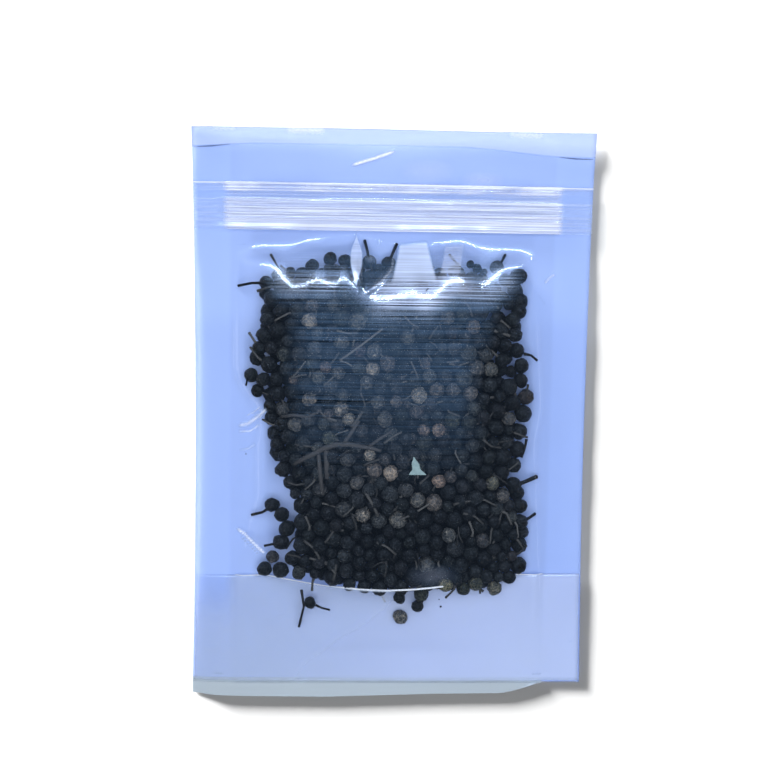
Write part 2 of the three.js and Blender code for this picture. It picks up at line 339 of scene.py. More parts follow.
def closed_curve(corners, steps=6):
    """Points on a smooth closed curve through the corners."""
    p = np.array(corners, float)
    before, after, beyond = np.roll(p, 1, 0), np.roll(p, -1, 0), np.roll(p, -2, 0)
    t = (np.arange(steps) / steps)[None, :, None]
    bend = 2 * p[:, None] + (after - before)[:, None] * t
    bend = bend + (2 * before - 5 * p + 4 * after - beyond)[:, None] * t**2
    bend = bend + (3 * p - before - 3 * after + beyond)[:, None] * t**3
    return (bend / 2).reshape(-1, 2)


heap_ring = closed_curve(HEAP_CORNERS)


def heap_edge(x, y):
    """Distance inside the heap's outline, negative outside it, and the nearest point of the outline."""
    here = np.stack([x, y], -1)[:, None]
    a, b = heap_ring[None], np.roll(heap_ring, -1, 0)[None]
    t = np.clip(((here - a) * (b - a)).sum(-1) / ((b - a) ** 2).sum(-1), 0, 1)
    foot = a + t[..., None] * (b - a)
    away = np.hypot(*np.moveaxis(here - foot, -1, 0))
    pick = away.argmin(1)
    crossing = (a[..., 1] > here[..., 1]) != (b[..., 1] > here[..., 1])
    run, climb = np.moveaxis(b - a, -1, 0)
    reach = a[..., 0] + (here[..., 1] - a[..., 1]) * run / np.where(climb == 0, 1, climb)
    inside = (crossing & (here[..., 0] < reach)).sum(1) % 2 == 1
    rows = np.arange(len(pick))
    return np.where(inside, 1, -1) * away[rows, pick], foot[rows, pick]


turned = np.roll(heap_ring, -1, 0)
heap_area = abs((heap_ring[:, 0] * turned[:, 1] - turned[:, 0] * heap_ring[:, 1]).sum()) / 2
print("heap covers", round(heap_area / 100, 1), "square centimetres")

# %% Berries with chosen places
# x, y, radius, tone from 0, nearly black, to 1, pale tan, and hue from -1, olive, to 1, reddish
EDGE_BERRIES = [
    (-31.3, 32, 1.9, 0.05, 0), (-29.9, 28.1, 2.2, 0.05, 0), (-30.8, 23.1, 2.0, 0.05, 0),
    (-31.7, 19, 2.0, 0.05, -0.6), (-33.5, 13.5, 2.0, 0.03, -0.5), (-34.9, 9.2, 1.9, 0.16, -1),
    (-33.3, 5.4, 1.8, 0.05, -0.7), (-29.8, -1.4, 2.0, 0.05, 0), (-29, -5.4, 2.1, 0.04, 0),
    (-28.1, -10.4, 2.2, 0.03, 0), (-26.9, -14.2, 2.0, 0.08, 0.2), (-29.6, -23.5, 2.0, 0.04, -0.6),
    (-27.1, -25.6, 2.0, 0.05, -0.5), (-25.8, -29, 2.1, 0.06, -0.5), (-27.3, -32.7, 2.2, 0.04, 0),
    (-29.4, -36.6, 1.7, 0.35, 0.4), (-24.4, -36.5, 1.9, 0.05, 0), (-31.5, -40, 2.0, 0.06, 0),
    (-27.3, -40, 2.2, 0.05, 0), (-22.7, -40.3, 1.9, 0.3, -0.2), (-20, 36.2, 1.9, 0.06, 0),
    (-15.6, 38.1, 1.7, 0.08, 0), (-11.9, 37.6, 1.7, 0.1, 0), (-6, 37.5, 1.9, 0.06, 0),
    (-1.2, 37.3, 1.9, 0.06, 0), (11.3, 34.6, 1.8, 0.08, 0), (14.9, 35.4, 1.8, 0.08, 0),
    (25.8, 36.7, 1.8, 0.06, 0), (31.3, 34.6, 2.1, 0.03, 0), (30.4, 30.9, 2.1, 0.03, 0),
    (29.8, 23.8, 2.0, 0.12, -0.4), (30.4, 20, 1.9, 0.08, 0), (31, 16.2, 2.0, 0.05, 0),
    (32.3, 12.3, 2.0, 0.06, -0.3), (33.7, 4.6, 2.0, 0.3, 0.9), (33.1, 0.3, 2.4, 0.08, 0.1),
    (32.1, -4.2, 2.2, 0.05, 0), (30.8, -12.7, 2.1, 0.05, 0), (31, -17.7, 2.1, 0.05, -0.3),
    (32.7, -23.1, 2.0, 0.07, 0.3), (33.1, -27.3, 2.0, 0.08, 0.1), (33.1, -33.3, 2.3, 0.02, -0.3),
    (32.9, -38.7, 2.3, 0.02, 0), (26.9, -44.4, 2.0, 0.65, -0.8), (18.8, -44.3, 1.8, 0.35, -1.2),
    (14.2, -43.1, 1.9, 0.85, -1.3), (8.1, -45.6, 1.9, 0.3, -1), (21.9, -43, 1.9, 0.55, -1),
    (19.0, 37.3, 1.1, 0.02, -0.6), (20.7, 36.3, 1.3, 0.03, -0.8), (22.4, 35.4, 1.0, 0.02, -0.5),
]
PALE_BERRIES = [
    (-20.4, 22.9, 2.1, 0.85, 0.1), (-12.5, 17.9, 2.0, 0.55, 0), (-4.6, 15.8, 2.1, 0.55, 0),
    (-5, 11.5, 1.9, 0.8, 0.1), (-20.2, 3.8, 1.9, 0.65, 0.2), (-3.5, 3.5, 2.0, 0.5, 0),
    (-10.6, -0.8, 1.6, 0.8, 0), (-23.8, -2.7, 1.9, 0.5, 0.1), (-5.4, -9.6, 1.6, 0.75, 0),
    (-0.2, -14, 2.1, 1.0, 0.4), (-8.5, -16.5, 1.9, 0.5, 0.2), (-6.9, -24.6, 2.0, 0.7, 0.1),
    (6.5, 5.2, 2.1, 0.85, 0), (10.8, 6.5, 1.9, 0.55, 0.4), (14.8, 6.5, 2.0, 0.5, 0.3),
    (24.2, 11.5, 2.0, 0.55, -0.1), (19.6, 21.9, 1.9, 0.6, 0.5), (11.5, -3.3, 1.9, 0.75, 0.8),
    (7.7, -3.3, 1.6, 0.6, 0.8), (29.2, -0.8, 1.8, 0.5, 0.2), (11.7, -16, 1.9, 0.8, 0.9),
    (14.6, -14.9, 1.7, 0.5, 0.5), (10.6, -21.5, 2.3, 0.6, 0.4), (25.4, -16.9, 1.9, 0.7, -0.8),
    (28.2, -20.2, 1.9, 0.5, 0.3), (14.6, -29.8, 1.9, 0.5, 0), (9.2, -37.7, 2.4, 0.45, 0),
    (23.3, -31.5, 2.1, 0.35, 0.4), (20.0, 2.0, 1.9, 0.35, -0.3), (-17.5, -18.6, 2.0, 0.3, 0.3),
]
FOOT_BERRIES = [
    (2.6, -46.6, 1.5, 0.06, -0.3), (7.3, -48.9, 1.5, 0.06, -0.4), (-19.9, -48.4, 1.5, 0.05, -0.5),
    (3.0, -52.3, 1.9, 0.55, -0.1),
]
chosen = np.array(EDGE_BERRIES + PALE_BERRIES)
print(len(chosen), "berries with chosen places in the heap,", len(FOOT_BERRIES), "in the folded foot")

# %% Pack the heap
chance = np.random.default_rng(20)
SKIN = 0.28  # air and film over the highest point of a berry
MEAN_RADIUS, RADIUS_SPREAD = 1.95, 0.12
LAYER = 3.1
LAYERS = [(0, 0.82), (LAYER, 1.2), (2 * LAYER, 1.1)]  # how far below the film, and how full
EDGE_MARGIN = 1.2  # nothing is dropped nearer than this to the heap's outline


def drop_layer(down, full):
    """Random places for one layer, down below the film, where the pouch is thick enough for it."""
    count = int(full * heap_area / (2 * math.sqrt(3) * MEAN_RADIUS**2))
    low, high = heap_ring.min(0), heap_ring.max(0)
    found = []
    while len(found) < count:
        x, y = chance.uniform(low, high)
        inside, _ = heap_edge(np.array([x]), np.array([y]))
        if inside[0] > EDGE_MARGIN:
            found.append((x, y))
    x, y = np.array(found).T
    radius = MEAN_RADIUS * (1 + RADIUS_SPREAD * chance.standard_normal(len(x)).clip(-2, 2))
    z = cushion(x, y) - SKIN - radius - down
    room = z - radius > underside(x, y) - 0.6
    return np.stack([x, y, z, radius], 1)[room]


layers = [drop_layer(down, full) for down, full in LAYERS]
fixed_z = cushion(chosen[:, 0], chosen[:, 1]) - SKIN - chosen[:, 2]
fixed = np.column_stack([chosen[:, :2], fixed_z, chosen[:, 2]])
heap = np.concatenate([fixed, *layers])
level = np.concatenate([np.zeros(len(fixed)), *[np.full(len(a), i) for i, a in enumerate(layers)]])
print("berries by layer:", len(fixed) + len(layers[0]), len(layers[1]), len(layers[2]))


# %% Push them apart
ROUNDS, LOOK_AGAIN = 260, 6  # rounds of pushing, and how often the neighbours are listed anew
NEIGHBOUR_GAP = 1.2
NESTED, TOUCHING = 0.84, 0.97  # deep berries may sink into each other a little, as dented ones do
EDGE_HOLD = 0.85  # of its radius, how far a berry's middle stays inside the outline
FLOOR_GAP = 0.15
PUSH_SHARE, RISE_SHARE, SINK = 0.8, 0.12, 0.02  # of a push, of the gap to the film, and of a millimetre


def settle(heap, level, held):
    """Moves berries out of each other, up to the film, and back inside the outline."""
    at, radius = heap[:, :3].copy(), heap[:, 3]
    free = np.arange(len(heap)) >= held
    for turn in range(ROUNDS):
        if turn % LOOK_AGAIN == 0:
            gap = np.linalg.norm(at[:, None] - at[None], axis=2) - radius[:, None] - radius[None]
            one, other = np.nonzero(np.triu(gap < NEIGHBOUR_GAP, 1))
        apart = at[one] - at[other]
        far = np.linalg.norm(apart, axis=1) + 1e-6
        nested = np.where((level[one] > 0) & (level[other] > 0), NESTED, TOUCHING)
        push = np.clip(nested * (radius[one] + radius[other]) - far, 0, None)
        move = np.zeros_like(at)
        step = apart / far[:, None] * push[:, None] * 0.5
        np.add.at(move, one, step)
        np.add.at(move, other, -step)
        move[~free, :2] = 0
        at += PUSH_SHARE * move
        x, y = at[:, 0], at[:, 1]
        inside, foot = heap_edge(x, y)
        out = free & (inside < EDGE_HOLD * radius)
        inward = (at[:, :2] - foot) * np.sign(inside)[:, None]
        inward /= np.linalg.norm(inward, axis=1)[:, None] + 1e-6
        at[out, :2] = (foot + inward * EDGE_HOLD * radius[:, None])[out]
        top = cushion(x, y) - SKIN - radius
        floor = underside(x, y) + FLOOR_GAP + radius
        at[:, 2] += np.where(level == 0, RISE_SHARE * (top - at[:, 2]), -SINK)
        at[:, 2] = np.minimum(np.maximum(at[:, 2], floor), np.maximum(top, floor))
    return np.column_stack([at, radius]), push


heap, left_over = settle(heap, level, len(fixed))
worst = round(float(left_over.max()), 2)
print("berries:", len(heap), "mean overlap left:", round(float(left_over.mean()), 3), "mm, worst", worst)

# %% [markdown]
# ## Shaping helpers
#
# Many small things have to end up in few meshes. Each is made once, small, in a bmesh of its own, and
# copies of it are then set into the big bmesh with a place, a turn and a size. Every vertex also carries
# the tone and hue of its berry in two attributes, so that one finish can colour them all.

# %% Set copies of small meshes into one piece
ROOT = "root"


def to_mesh(bm, name):
    mesh = bpy.data.meshes.new(name)
    bm.to_mesh(mesh)
    bm.free()
    return mesh


def rounded(bm):
    """Smooth shading on every face."""
    for face in bm.faces:
        face.smooth = True


def thickened(bm, thickness):
    """Gives a sheet its thickness, with every face turned outwards."""
    bmesh.ops.solidify(bm, geom=bm.faces[:], thickness=thickness)
    bmesh.ops.recalc_face_normals(bm, faces=bm.faces)


def triangles(made):
    return sum(len(p.vertices) - 2 for p in made.data.polygons)


class Pile:
    """One bmesh that collects copies of small meshes, each with its own tone and hue."""

    def __init__(self):
        self.bm = bmesh.new()
        self.tone = self.bm.verts.layers.float.new("tone")
        self.hue = self.bm.verts.layers.float.new("hue")

    def add(self, mesh, matrix, tone=0.0, hue=0.0):
        before = len(self.bm.verts)
        self.bm.from_mesh(mesh)
        self.bm.verts.ensure_lookup_table()
        fresh = self.bm.verts[before:]
        bmesh.ops.transform(self.bm, matrix=matrix, verts=fresh)
        for v in fresh:
            v[self.tone], v[self.hue] = tone, hue

    def finish(self, name, material):
        rounded(self.bm)
        return piece(to_mesh(self.bm, name), name, material)


def piece(mesh, name, *materials):
    """An object for a finished mesh in sheet millimetres, riding on the frame."""
    mesh.transform(Matrix.Diagonal((MM, MM, MM, 1)) @ Matrix.Translation((0, SHEET_SHIFT, 0)))
    for material in materials:
        mesh.materials.append(material)
    made = bpy.data.objects.new(name, mesh)
    bpy.context.scene.collection.objects.link(made)
    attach(made, ROOT)
    return made


print("pieces ride on", list(frame["bodies"]))

# %% [markdown]
# ## Shader arithmetic
#
# Masks and mixes read best as sums. This class wraps one output of a node and adds a Math node for each
# operator used on it, and a second small class starts a material and makes every other kind of node from
# one method.


# %% A socket that can be added and multiplied
class Value:
    def __init__(self, finish, output):
        self.finish, self.output = finish, output

    def math(self, operation, *others, clamp=False):
        settings = {"operation": operation, "use_clamp": clamp}
        return self.finish.node("ShaderNodeMath", settings, dict(enumerate((self, *others))))[0]

    def __add__(self, other):
        return self.math("ADD", other)

    __radd__ = __add__

    def __mul__(self, other):
        return self.math("MULTIPLY", other)

    __rmul__ = __mul__

    def __sub__(self, other):
        return self.math("SUBTRACT", other)

    def __rsub__(self, other):
        return self.math("MULTIPLY_ADD", -1.0, other)

    def __pow__(self, other):
        return self.math("POWER", other)

    def clamp(self):
        return self.math("ADD", 0.0, clamp=True)

    def rise(self, low, high):
        """0 below low and 1 above high, soft at both ends."""
        settings = {"interpolation_type": "SMOOTHSTEP"}
        inputs = {"Value": self, "From Min": low, "From Max": high}
        return self.finish.node("ShaderNodeMapRange", settings, inputs)["Result"]


class Node:
    def __init__(self, finish, made):
        self.finish, self.made = finish, made

    def __getitem__(self, key):
        return Value(self.finish, self.made.outputs[key])


class Finish:
    """A material under construction."""

    def __init__(self, name):
        self.material = bpy.data.materials.new(name)
        self.material.use_nodes = True
        self.tree = self.material.node_tree
        self.tree.nodes.clear()

    def node(self, kind, settings=None, inputs=None):
        made = self.tree.nodes.new(kind)
        for key, value in (settings or {}).items():
            if key == "stops":
                self.set_stops(made.color_ramp, value)
            else:
                setattr(made, key, value)
        for key, value in (inputs or {}).items():
            if isinstance(value, Value):
                self.tree.links.new(value.output, made.inputs[key])
            else:
                made.inputs[key].default_value = value
        return Node(self, made)

    @staticmethod
    def set_stops(ramp, stops):
        while len(ramp.elements) < len(stops):
            ramp.elements.new(0.5)
        for element, (position, colour) in zip(ramp.elements, stops):
            element.position, element.color = position, (*colour, 1)

    def place(self):
        """Object coordinates in millimetres."""
        inputs = {0: self.node("ShaderNodeTexCoord")["Object"], "Scale": 1 / MM}
        return self.node("ShaderNodeVectorMath", {"operation": "SCALE"}, inputs)["Vector"]

    def stored(self, name):
        """A number kept in each vertex of the mesh."""
        return self.node("ShaderNodeAttribute", {"attribute_name": name})["Fac"]

    def axes(self, where):
        """X, Y and Z of a place on the sheet."""
        split = self.node("ShaderNodeSeparateXYZ", None, {0: where})
        return split["X"], split["Y"] - SHEET_SHIFT, split["Z"]

    def noise(self, where, scale, detail=2.0, stretch=(1, 1, 1)):
        """Fractal noise with the given number of lumps a millimetre."""
        pulled = self.node("ShaderNodeVectorMath", {"operation": "MULTIPLY"}, {0: where, 1: stretch})
        inputs = {"Vector": pulled["Vector"], "Scale": scale, "Detail": detail, "Roughness": 0.55}
        return self.node("ShaderNodeTexNoise", None, inputs)["Fac"]

    def blend(self, factor, one, other, kind="MIX"):
        """A mix of two colours."""
        settings = {"data_type": "RGBA", "blend_type": kind}
        return self.node("ShaderNodeMix", settings, {0: factor, 6: one, 7: other})[2]

    def bumped(self, height, strength, distance):
        """The surface's direction, bent as if it rose by height. Distance is in metres."""
        inputs = {"Strength": strength, "Distance": distance, "Height": height}
        return self.node("ShaderNodeBump", None, inputs)["Normal"]

    def solid_colour(self, base, roughness, specular, **more):
        """An opaque surface."""
        inputs = {"Base Color": base, "Roughness": roughness, "Specular IOR Level": specular, **more}
        return self.node("ShaderNodeBsdfPrincipled", None, inputs)["BSDF"]

    def show(self, shader):
        self.node("ShaderNodeOutputMaterial", None, {"Surface": shader})
        return self.material


def rgb(red, green, blue):
    """A picture colour from 0 to 255 as the linear light that a shader takes."""
    parts = (c / 255 for c in (red, green, blue))
    return tuple(c / 12.92 if c <= 10 / 255 else ((c + 0.055) / 1.055) ** 2.4 for c in parts)


def colour(red, green, blue):
    return (*rgb(red, green, blue), 1.0)


print("mid grey is", [round(c, 3) for c in rgb(128, 128, 128)])

# %% [markdown]
# ## Finishes for what is inside
#
# A dried cubeb is matt and nearly black, with a net of fine raised wrinkles that are worn paler. One
# finish does every berry: the tone attribute runs a colour ramp from black through grey to pale tan, the
# hue attribute tips it towards olive or red, and cell edges from a Voronoi pattern make the net.


# %% Skin of the berries
DARK_TO_PALE = [
    (0.0, rgb(3, 4, 6)), (0.14, rgb(15, 20, 25)), (0.36, rgb(45, 51, 57)), (0.7, rgb(97, 99, 100)),
    (1.0, rgb(160, 154, 144)),
]


def berry_skin():
    skin = Finish("cubeb skin")
    where = skin.place()
    tone, hue = skin.stored("tone"), skin.stored("hue")
    warped = {0: skin.noise(where, 0.9, 2.0), 1: (0.5, 0.5, 0.5), 2: where}
    bent = skin.node("ShaderNodeVectorMath", {"operation": "MULTIPLY_ADD"}, warped)["Vector"]
    cells = {"Vector": bent, "Scale": 1.15}
    cells = skin.node("ShaderNodeTexVoronoi", {"feature": "DISTANCE_TO_EDGE"}, cells)["Distance"]
    net = 1.0 - cells.rise(0.01, 0.13)
    mottle = skin.noise(where, 1.6, 4.0)
    patches = skin.noise(where, 0.55, 2.0)
    worn = net * (tone * 0.34 + 0.16)
    amount = tone * (patches * 1.3 + mottle * 0.9 - 0.3) + worn + (mottle - 0.5) * 0.3
    dark_to_pale = skin.node("ShaderNodeValToRGB", {"stops": DARK_TO_PALE}, {"Fac": amount.clamp()})["Color"]
    olive = skin.blend((hue * -0.8).clamp(), dark_to_pale, colour(92, 104, 30), "SOFT_LIGHT")
    tinted = skin.blend((hue * 0.6).clamp(), olive, colour(170, 104, 96), "SOFT_LIGHT")
    bump = skin.bumped(net * 0.8 + mottle * 0.8, 0.8, 0.42 * MM)
    return skin.show(skin.solid_colour(tinted, 0.42 + mottle * 0.2, 0.3, Normal=bump))


def bark(name, dark, light):
    """Dry stalk, mottled finely from dark to light."""
    stalk = Finish(name)
    fibre = stalk.noise(stalk.place(), 2.2, 4.0)
    amount = (stalk.stored("tone") + (fibre - 0.5) * 0.8).clamp()
    shade = stalk.blend(amount, dark, light)
    return stalk.show(stalk.solid_colour(shade, 0.7, 0.2, Normal=stalk.bumped(fibre, 0.5, 0.2 * MM)))


SKIN_FINISH = berry_skin()
STALK_FINISH = bark("cubeb stalk", colour(13, 15, 18), colour(88, 90, 92))
TWIG_FINISH = bark("twig bark", colour(20, 22, 25), colour(74, 75, 78))
print("finishes:", [m.name for m in (SKIN_FINISH, STALK_FINISH, TWIG_FINISH)])

# %% [markdown]
# ## Berries
#
# A berry starts as a coarse sphere. Noise dents it, a squeeze takes it out of round, and a dimple marks
# the end opposite the stalk. Twelve such shapes, each turned at random, are enough for nobody to see a
# repeat. Each has only 88 faces, because there are over a thousand berries.


# %% A dozen berry shapes
BERRY_SHAPES = 12


def berry_shape(number):
    bm = bmesh.new()
    bmesh.ops.create_uvsphere(bm, u_segments=11, v_segments=8, radius=1)
    offset = Vector((number * 7.3, 1.7, 4.1))
    squeeze = Vector((1 + 0.09 * math.sin(number * 2.1), 1 - 0.07 * math.cos(number), 0.96))
    for v in bm.verts:
        way = v.co.normalized()
        dent = 0.2 * noise.noise(way * 1.6 + offset) + 0.15 * noise.noise(way * 3.8 + offset)
        dimple = 0.1 * max(0, way.z - 0.86) / 0.14
        v.co = Vector(a * b for a, b in zip(way * min(1 + dent - dimple, 1.02), squeeze))
    return to_mesh(bm, f"berry shape {number}")


berry_shapes = [berry_shape(i) for i in range(BERRY_SHAPES)]
print("faces in a berry:", len(berry_shapes[0].polygons))


# %% Set every berry in its place
def any_turn():
    q = chance.standard_normal(4)
    return Quaternion(q / np.linalg.norm(q))


def placed(x, y, z, size, turn):
    return Matrix.Translation((x, y, z)) @ turn.to_matrix().to_4x4() @ Matrix.Diagonal((size, size, size, 1))


def chance_tone(x, y):
    """Tone and hue. Most are nearly black, some grey and a few pale, more of them in the middle: there the
    paler tones are partly painted light, for the lamp's reflection over the heap's middle.
    """
    # Paler in the middle of the heap: partly pale berries, partly painted light.
    middle = float(smooth(26 - abs(x), 0, 8) * smooth(y, -34, 2))
    roll = chance.random() + 0.08 * middle
    if roll < 0.88:
        dark = 0.14 * chance.random() ** 1.5
        return dark + middle * (0.02 + 0.42 * chance.random() ** 1.5), 0.4 * chance.normal()
    if roll < 0.99:
        return 0.14 + 0.2 * chance.random(), 0.3 * chance.normal()
    return 0.36 + 0.25 * chance.random(), 0.2 + 0.3 * chance.normal()


berries = Pile()
tones = [tuple(row[3:5]) for row in chosen]
tones += [chance_tone(x, y) for x, y, *_ in heap[len(chosen):]]
TONE_SHARE, HUE_SHARE = 0.86, 0.7  # in the heap the chosen tones and hues are held back a little
for i, ((x, y, z, radius), (tone, hue)) in enumerate(zip(heap, tones)):
    shape, where = berry_shapes[i % BERRY_SHAPES], placed(x, y, z, radius, any_turn())
    berries.add(shape, where, TONE_SHARE * tone, HUE_SHARE * hue)
for x, y, radius, tone, hue in FOOT_BERRIES:
    z = float(cushion(x, y)) - SKIN - radius
    shape, where = berry_shapes[int(radius * 7) % BERRY_SHAPES], placed(x, y, z, radius, any_turn())
    berries.add(shape, where, tone, hue)
berry_piece = berries.finish("berries", SKIN_FINISH)
print("berries:", len(heap) + len(FOOT_BERRIES), "triangles:", triangles(berry_piece))

# %% [markdown]
# ## Stalks and twigs
#
# Each stalk is a thin rod that swells where it meets the berry. It is drawn along a few points: a
# circle of edges is extruded from each point to the next and closed at both ends. Twigs are the same rods,
# longer and bent, with side shoots.


# %% A rod along points
def rod(points, radii, sides=5):
    """A closed rod through points, in sheet millimetres, as thick as radii say."""
    bm = bmesh.new()
    points = [Vector(p) for p in points]
    last = len(points) - 1
    bmesh.ops.create_cone(
        bm, cap_ends=True, segments=sides, radius1=1, radius2=1, depth=last,
        matrix=Matrix.Translation((0, 0, last / 2)),
    )
    for cut in range(1, last):
        everything = bm.verts[:] + bm.edges[:] + bm.faces[:]
        bmesh.ops.bisect_plane(bm, geom=everything, plane_co=(0, 0, cut), plane_no=(0, 0, 1))
    for v in bm.verts:
        i = round(v.co.z)
        ahead = points[min(i + 1, last)] - points[max(i - 1, 0)]
        turn = Vector((0, 0, 1)).rotation_difference(ahead.normalized())
        v.co = points[i] + turn @ Vector((v.co.x, v.co.y, 0)) * radii[i]
    return to_mesh(bm, "rod")


HERE = Matrix.Identity(4)
short_rod = rod([(0, 0, 0), (1, 0, 0), (2, 0.3, 0)], [0.4, 0.3, 0.25])
print("faces in a rod of two lengths:", len(short_rod.polygons))

# %% Stalks that stay on their berries
STALK_LENGTH, STALK_RADIUS = 5.0, 0.32
stalks = Pile()


def ceiling(x, y, radius):
    return float(cushion(x, y)) - SKIN - radius


def stalk(at, heading, length, radius, tone):
    """A stalk from a berry's middle outwards, kept under the film and off the table."""
    side = Vector((-heading.y, heading.x, 0)) * chance.normal() * 0.09 * length
    points, radii = [], []
    for part, thick in ((0.25, 1.25), (0.45, 0.85), (0.75, 0.8), (1.0, 1.0)):
        p = Vector(at[:3]) + heading * length * part + side * math.sin(math.pi * part) ** 2
        low = float(underside(p.x, p.y)) + 0.1 + radius
        p.z = max(low, min(p.z, ceiling(p.x, p.y, radius)))
        points.append(p)
        radii.append(radius * thick)
    stalks.add(rod(points, radii), HERE, tone)


KEEP_STALK = {0: 0.36, 1: 0.2}  # share of the berries of each layer whose stalk is drawn
grown = 0
for i, (x, y, z, radius) in enumerate(heap):
    if i < len(fixed) or level[i] == 2 or chance.random() > KEEP_STALK[level[i]]:
        continue
    turn = chance.uniform(0, 2 * math.pi)
    heading = Vector((math.cos(turn), math.sin(turn), chance.uniform(-0.1, 0.5))).normalized()
    length = radius + STALK_LENGTH * chance.uniform(0.75, 1.15) * 0.8
    stalk((x, y, z), heading, length, STALK_RADIUS * chance.uniform(0.75, 1.25), chance.uniform(0.1, 0.75))
    grown += 1
print("stalks on berries:", grown)

# %% Stalks and twigs with chosen places
# x, y from one end to the other, thickness, and tone from 0, dark, to 1, pale
EDGE_STALKS = [
    (-31.5, 32, -34.8, 31.9, -38.3, 31.2, 0.7, 0), (-29.6, -23.5, -32, -25.2, -34.8, -26.3, 0.8, 0),
    (-27.3, -32.7, -29.4, -33, -31.4, -33.6, 0.7, 0), (-6, 37.5, -6.5, 40.2, -7.2, 42.9, 0.8, 0),
    (-1.2, 37.3, -0.2, 39.8, 0.8, 42.2, 0.8, 0), (25.8, 36.7, 27, 38.3, 27.9, 39.9, 0.7, 0),
    (-30.3, 39, -29.2, 37.2, -28, 35.2, 0.6, 0.3), (-27.8, 36.2, -26.2, 34.9, -24.8, 34.1, 0.6, 0.4),
    (13.8, 39.6, 15.3, 37.6, 17, 35.7, 0.6, 0.1), (32.7, 15.4, 34.6, 15, 36.3, 13.7, 0.7, 0),
    (33.9, 7.8, 33.7, 6.3, 33.4, 4.4, 0.6, 0.2), (34, -6, 33.6, -8.2, 32.7, -10.6, 0.7, 0),
    (31, -17.7, 34, -16.8, 37.2, -15.9, 1.1, 0), (33.1, -27.3, 35.2, -26.2, 37, -25.3, 0.8, 0),
    (-34.9, 9.2, -35.8, 8.2, -36.2, 6.6, 0.5, 0), (-27.6, 34.8, -23, 34.3, -19.5, 34.9, 0.5, 0.3),
    (-22.0, -44.6, -21.4, -49, -22.7, -55, 0.7, 0.1), (-18.4, -48.6, -16.8, -49.4, -14.8, -49.9, 0.6, 0),
    (8.1, -45.6, 8.4, -47.2, 8.0, -49.0, 0.6, 0.1), (-13.5, -37.3, -13.6, -39.8, -14.3, -42.4, 0.9, 0.3),
]
PALE_STALKS = [
    (-12.9, 13.5, -7.8, 17.3, -2.7, 21.3, 0.62, 0.95), (-12.9, 13.5, -11.4, 13.1, -9.9, 12.2, 0.5, 0.9),
    (-13.8, 20.7, -11.2, 20.1, -8.7, 20.1, 0.6, 0.8), (-9.6, 20.2, -9.5, 18.6, -9.8, 17.0, 0.5, 0.7),
    (-24.6, 8.9, -22.8, 11, -21.2, 13.2, 0.5, 0.6), (-24.6, 8.9, -22.6, 9.7, -20.9, 9.9, 0.5, 0.5),
    (-17.5, 6.2, -18.8, 5.1, -20.4, 4.6, 0.7, 0.5), (-10.0, -2.6, -8.6, -0.9, -7.2, 1.3, 0.9, 0.45),
    (-2.0, -6.4, 0.4, -4.6, 2.3, -3.6, 0.6, 0.6), (-6.2, -18.8, -4.6, -21.6, -3.1, -24.6, 0.8, 0.5),
    (2.6, 24.4, 4.2, 22.6, 6.1, 21.7, 0.5, 0.6), (17.2, 28.2, 18.6, 26.5, 19.2, 24.4, 0.5, 0.5),
    (22.5, -5.6, 24.4, -7.3, 27.2, -7.9, 0.6, 0.4), (-3.4, -31.2, -0.8, -32.4, 1.4, -34.4, 0.6, 0.5),
    (17.9, -24.0, 20.8, -24.8, 23.0, -26.8, 0.6, 0.4), (-21.4, -31.4, -18.9, -33.3, -17.4, -36.0, 0.7, 0.4),
    (13.5, 13.1, 15.9, 12.6, 18.4, 13.4, 0.5, 0.6), (4.2, 13.6, 5.4, 11.1, 6.1, 9.3, 0.5, 0.6),
    (-26.4, -16.7, -23.4, -17.6, -20.6, -16.9, 0.6, 0.3), (0.8, -27.3, 2.2, -25.4, 4.6, -24.3, 0.6, 0.45),
]
TWIGS = [  # x, y and radius of each point
    [(-24, -12.3, 0.5), (-20, -10.1, 0.62), (-16.5, -8.1, 0.66), (-13.8, -7.1, 0.68), (-10.4, -6.9, 0.62),
     (-5, -7.7, 0.5), (-2.6, -8.3, 0.4)],
    [(-11.8, -6.8, 0.5), (-10.2, -4.4, 0.5), (-8.1, -1.0, 0.42)],
    [(-5.8, -7.4, 0.42), (-3.0, -5.3, 0.4), (-0.2, -3.5, 0.34)],
    [(-16, -8.6, 0.66), (-15.9, -11.8, 0.7), (-15.7, -15.6, 0.6)],
    [(-17.9, -9.6, 0.5), (-17.5, -14.2, 0.55), (-16.8, -19.6, 0.42)],
    [(-27.3, -0.8, 0.36), (-24, -0.2, 0.4), (-20.4, -0.5, 0.42), (-17.3, 1.4, 0.34)],
]


def under_film(points, tone, pile, sunk=0.12):
    """A rod just below the front film. Each point is x, y and radius."""
    line = [(x, y, max(ceiling(x, y, r) - sunk, float(underside(x, y)) + r + 0.1)) for x, y, r in points]
    pile.add(rod(line, [r for *_, r in points], 6), HERE, tone)


for x0, y0, x1, y1, x2, y2, thick, tone in EDGE_STALKS + PALE_STALKS:
    r = thick / 2
    middle = ((x0 + x1) / 2, (y0 + y1) / 2, r)
    under_film([(x0, y0, r * 1.2), middle, (x1, y1, r * 0.9), (x2, y2, r)], tone, stalks)
TWIG_TONE = 0.55
twigs = Pile()
for points in TWIGS:
    under_film([(x, y, r * 1.1) for x, y, r in points], TWIG_TONE, twigs, 0.0)
print("chosen stalks:", len(EDGE_STALKS + PALE_STALKS), "twigs:", len(TWIGS))

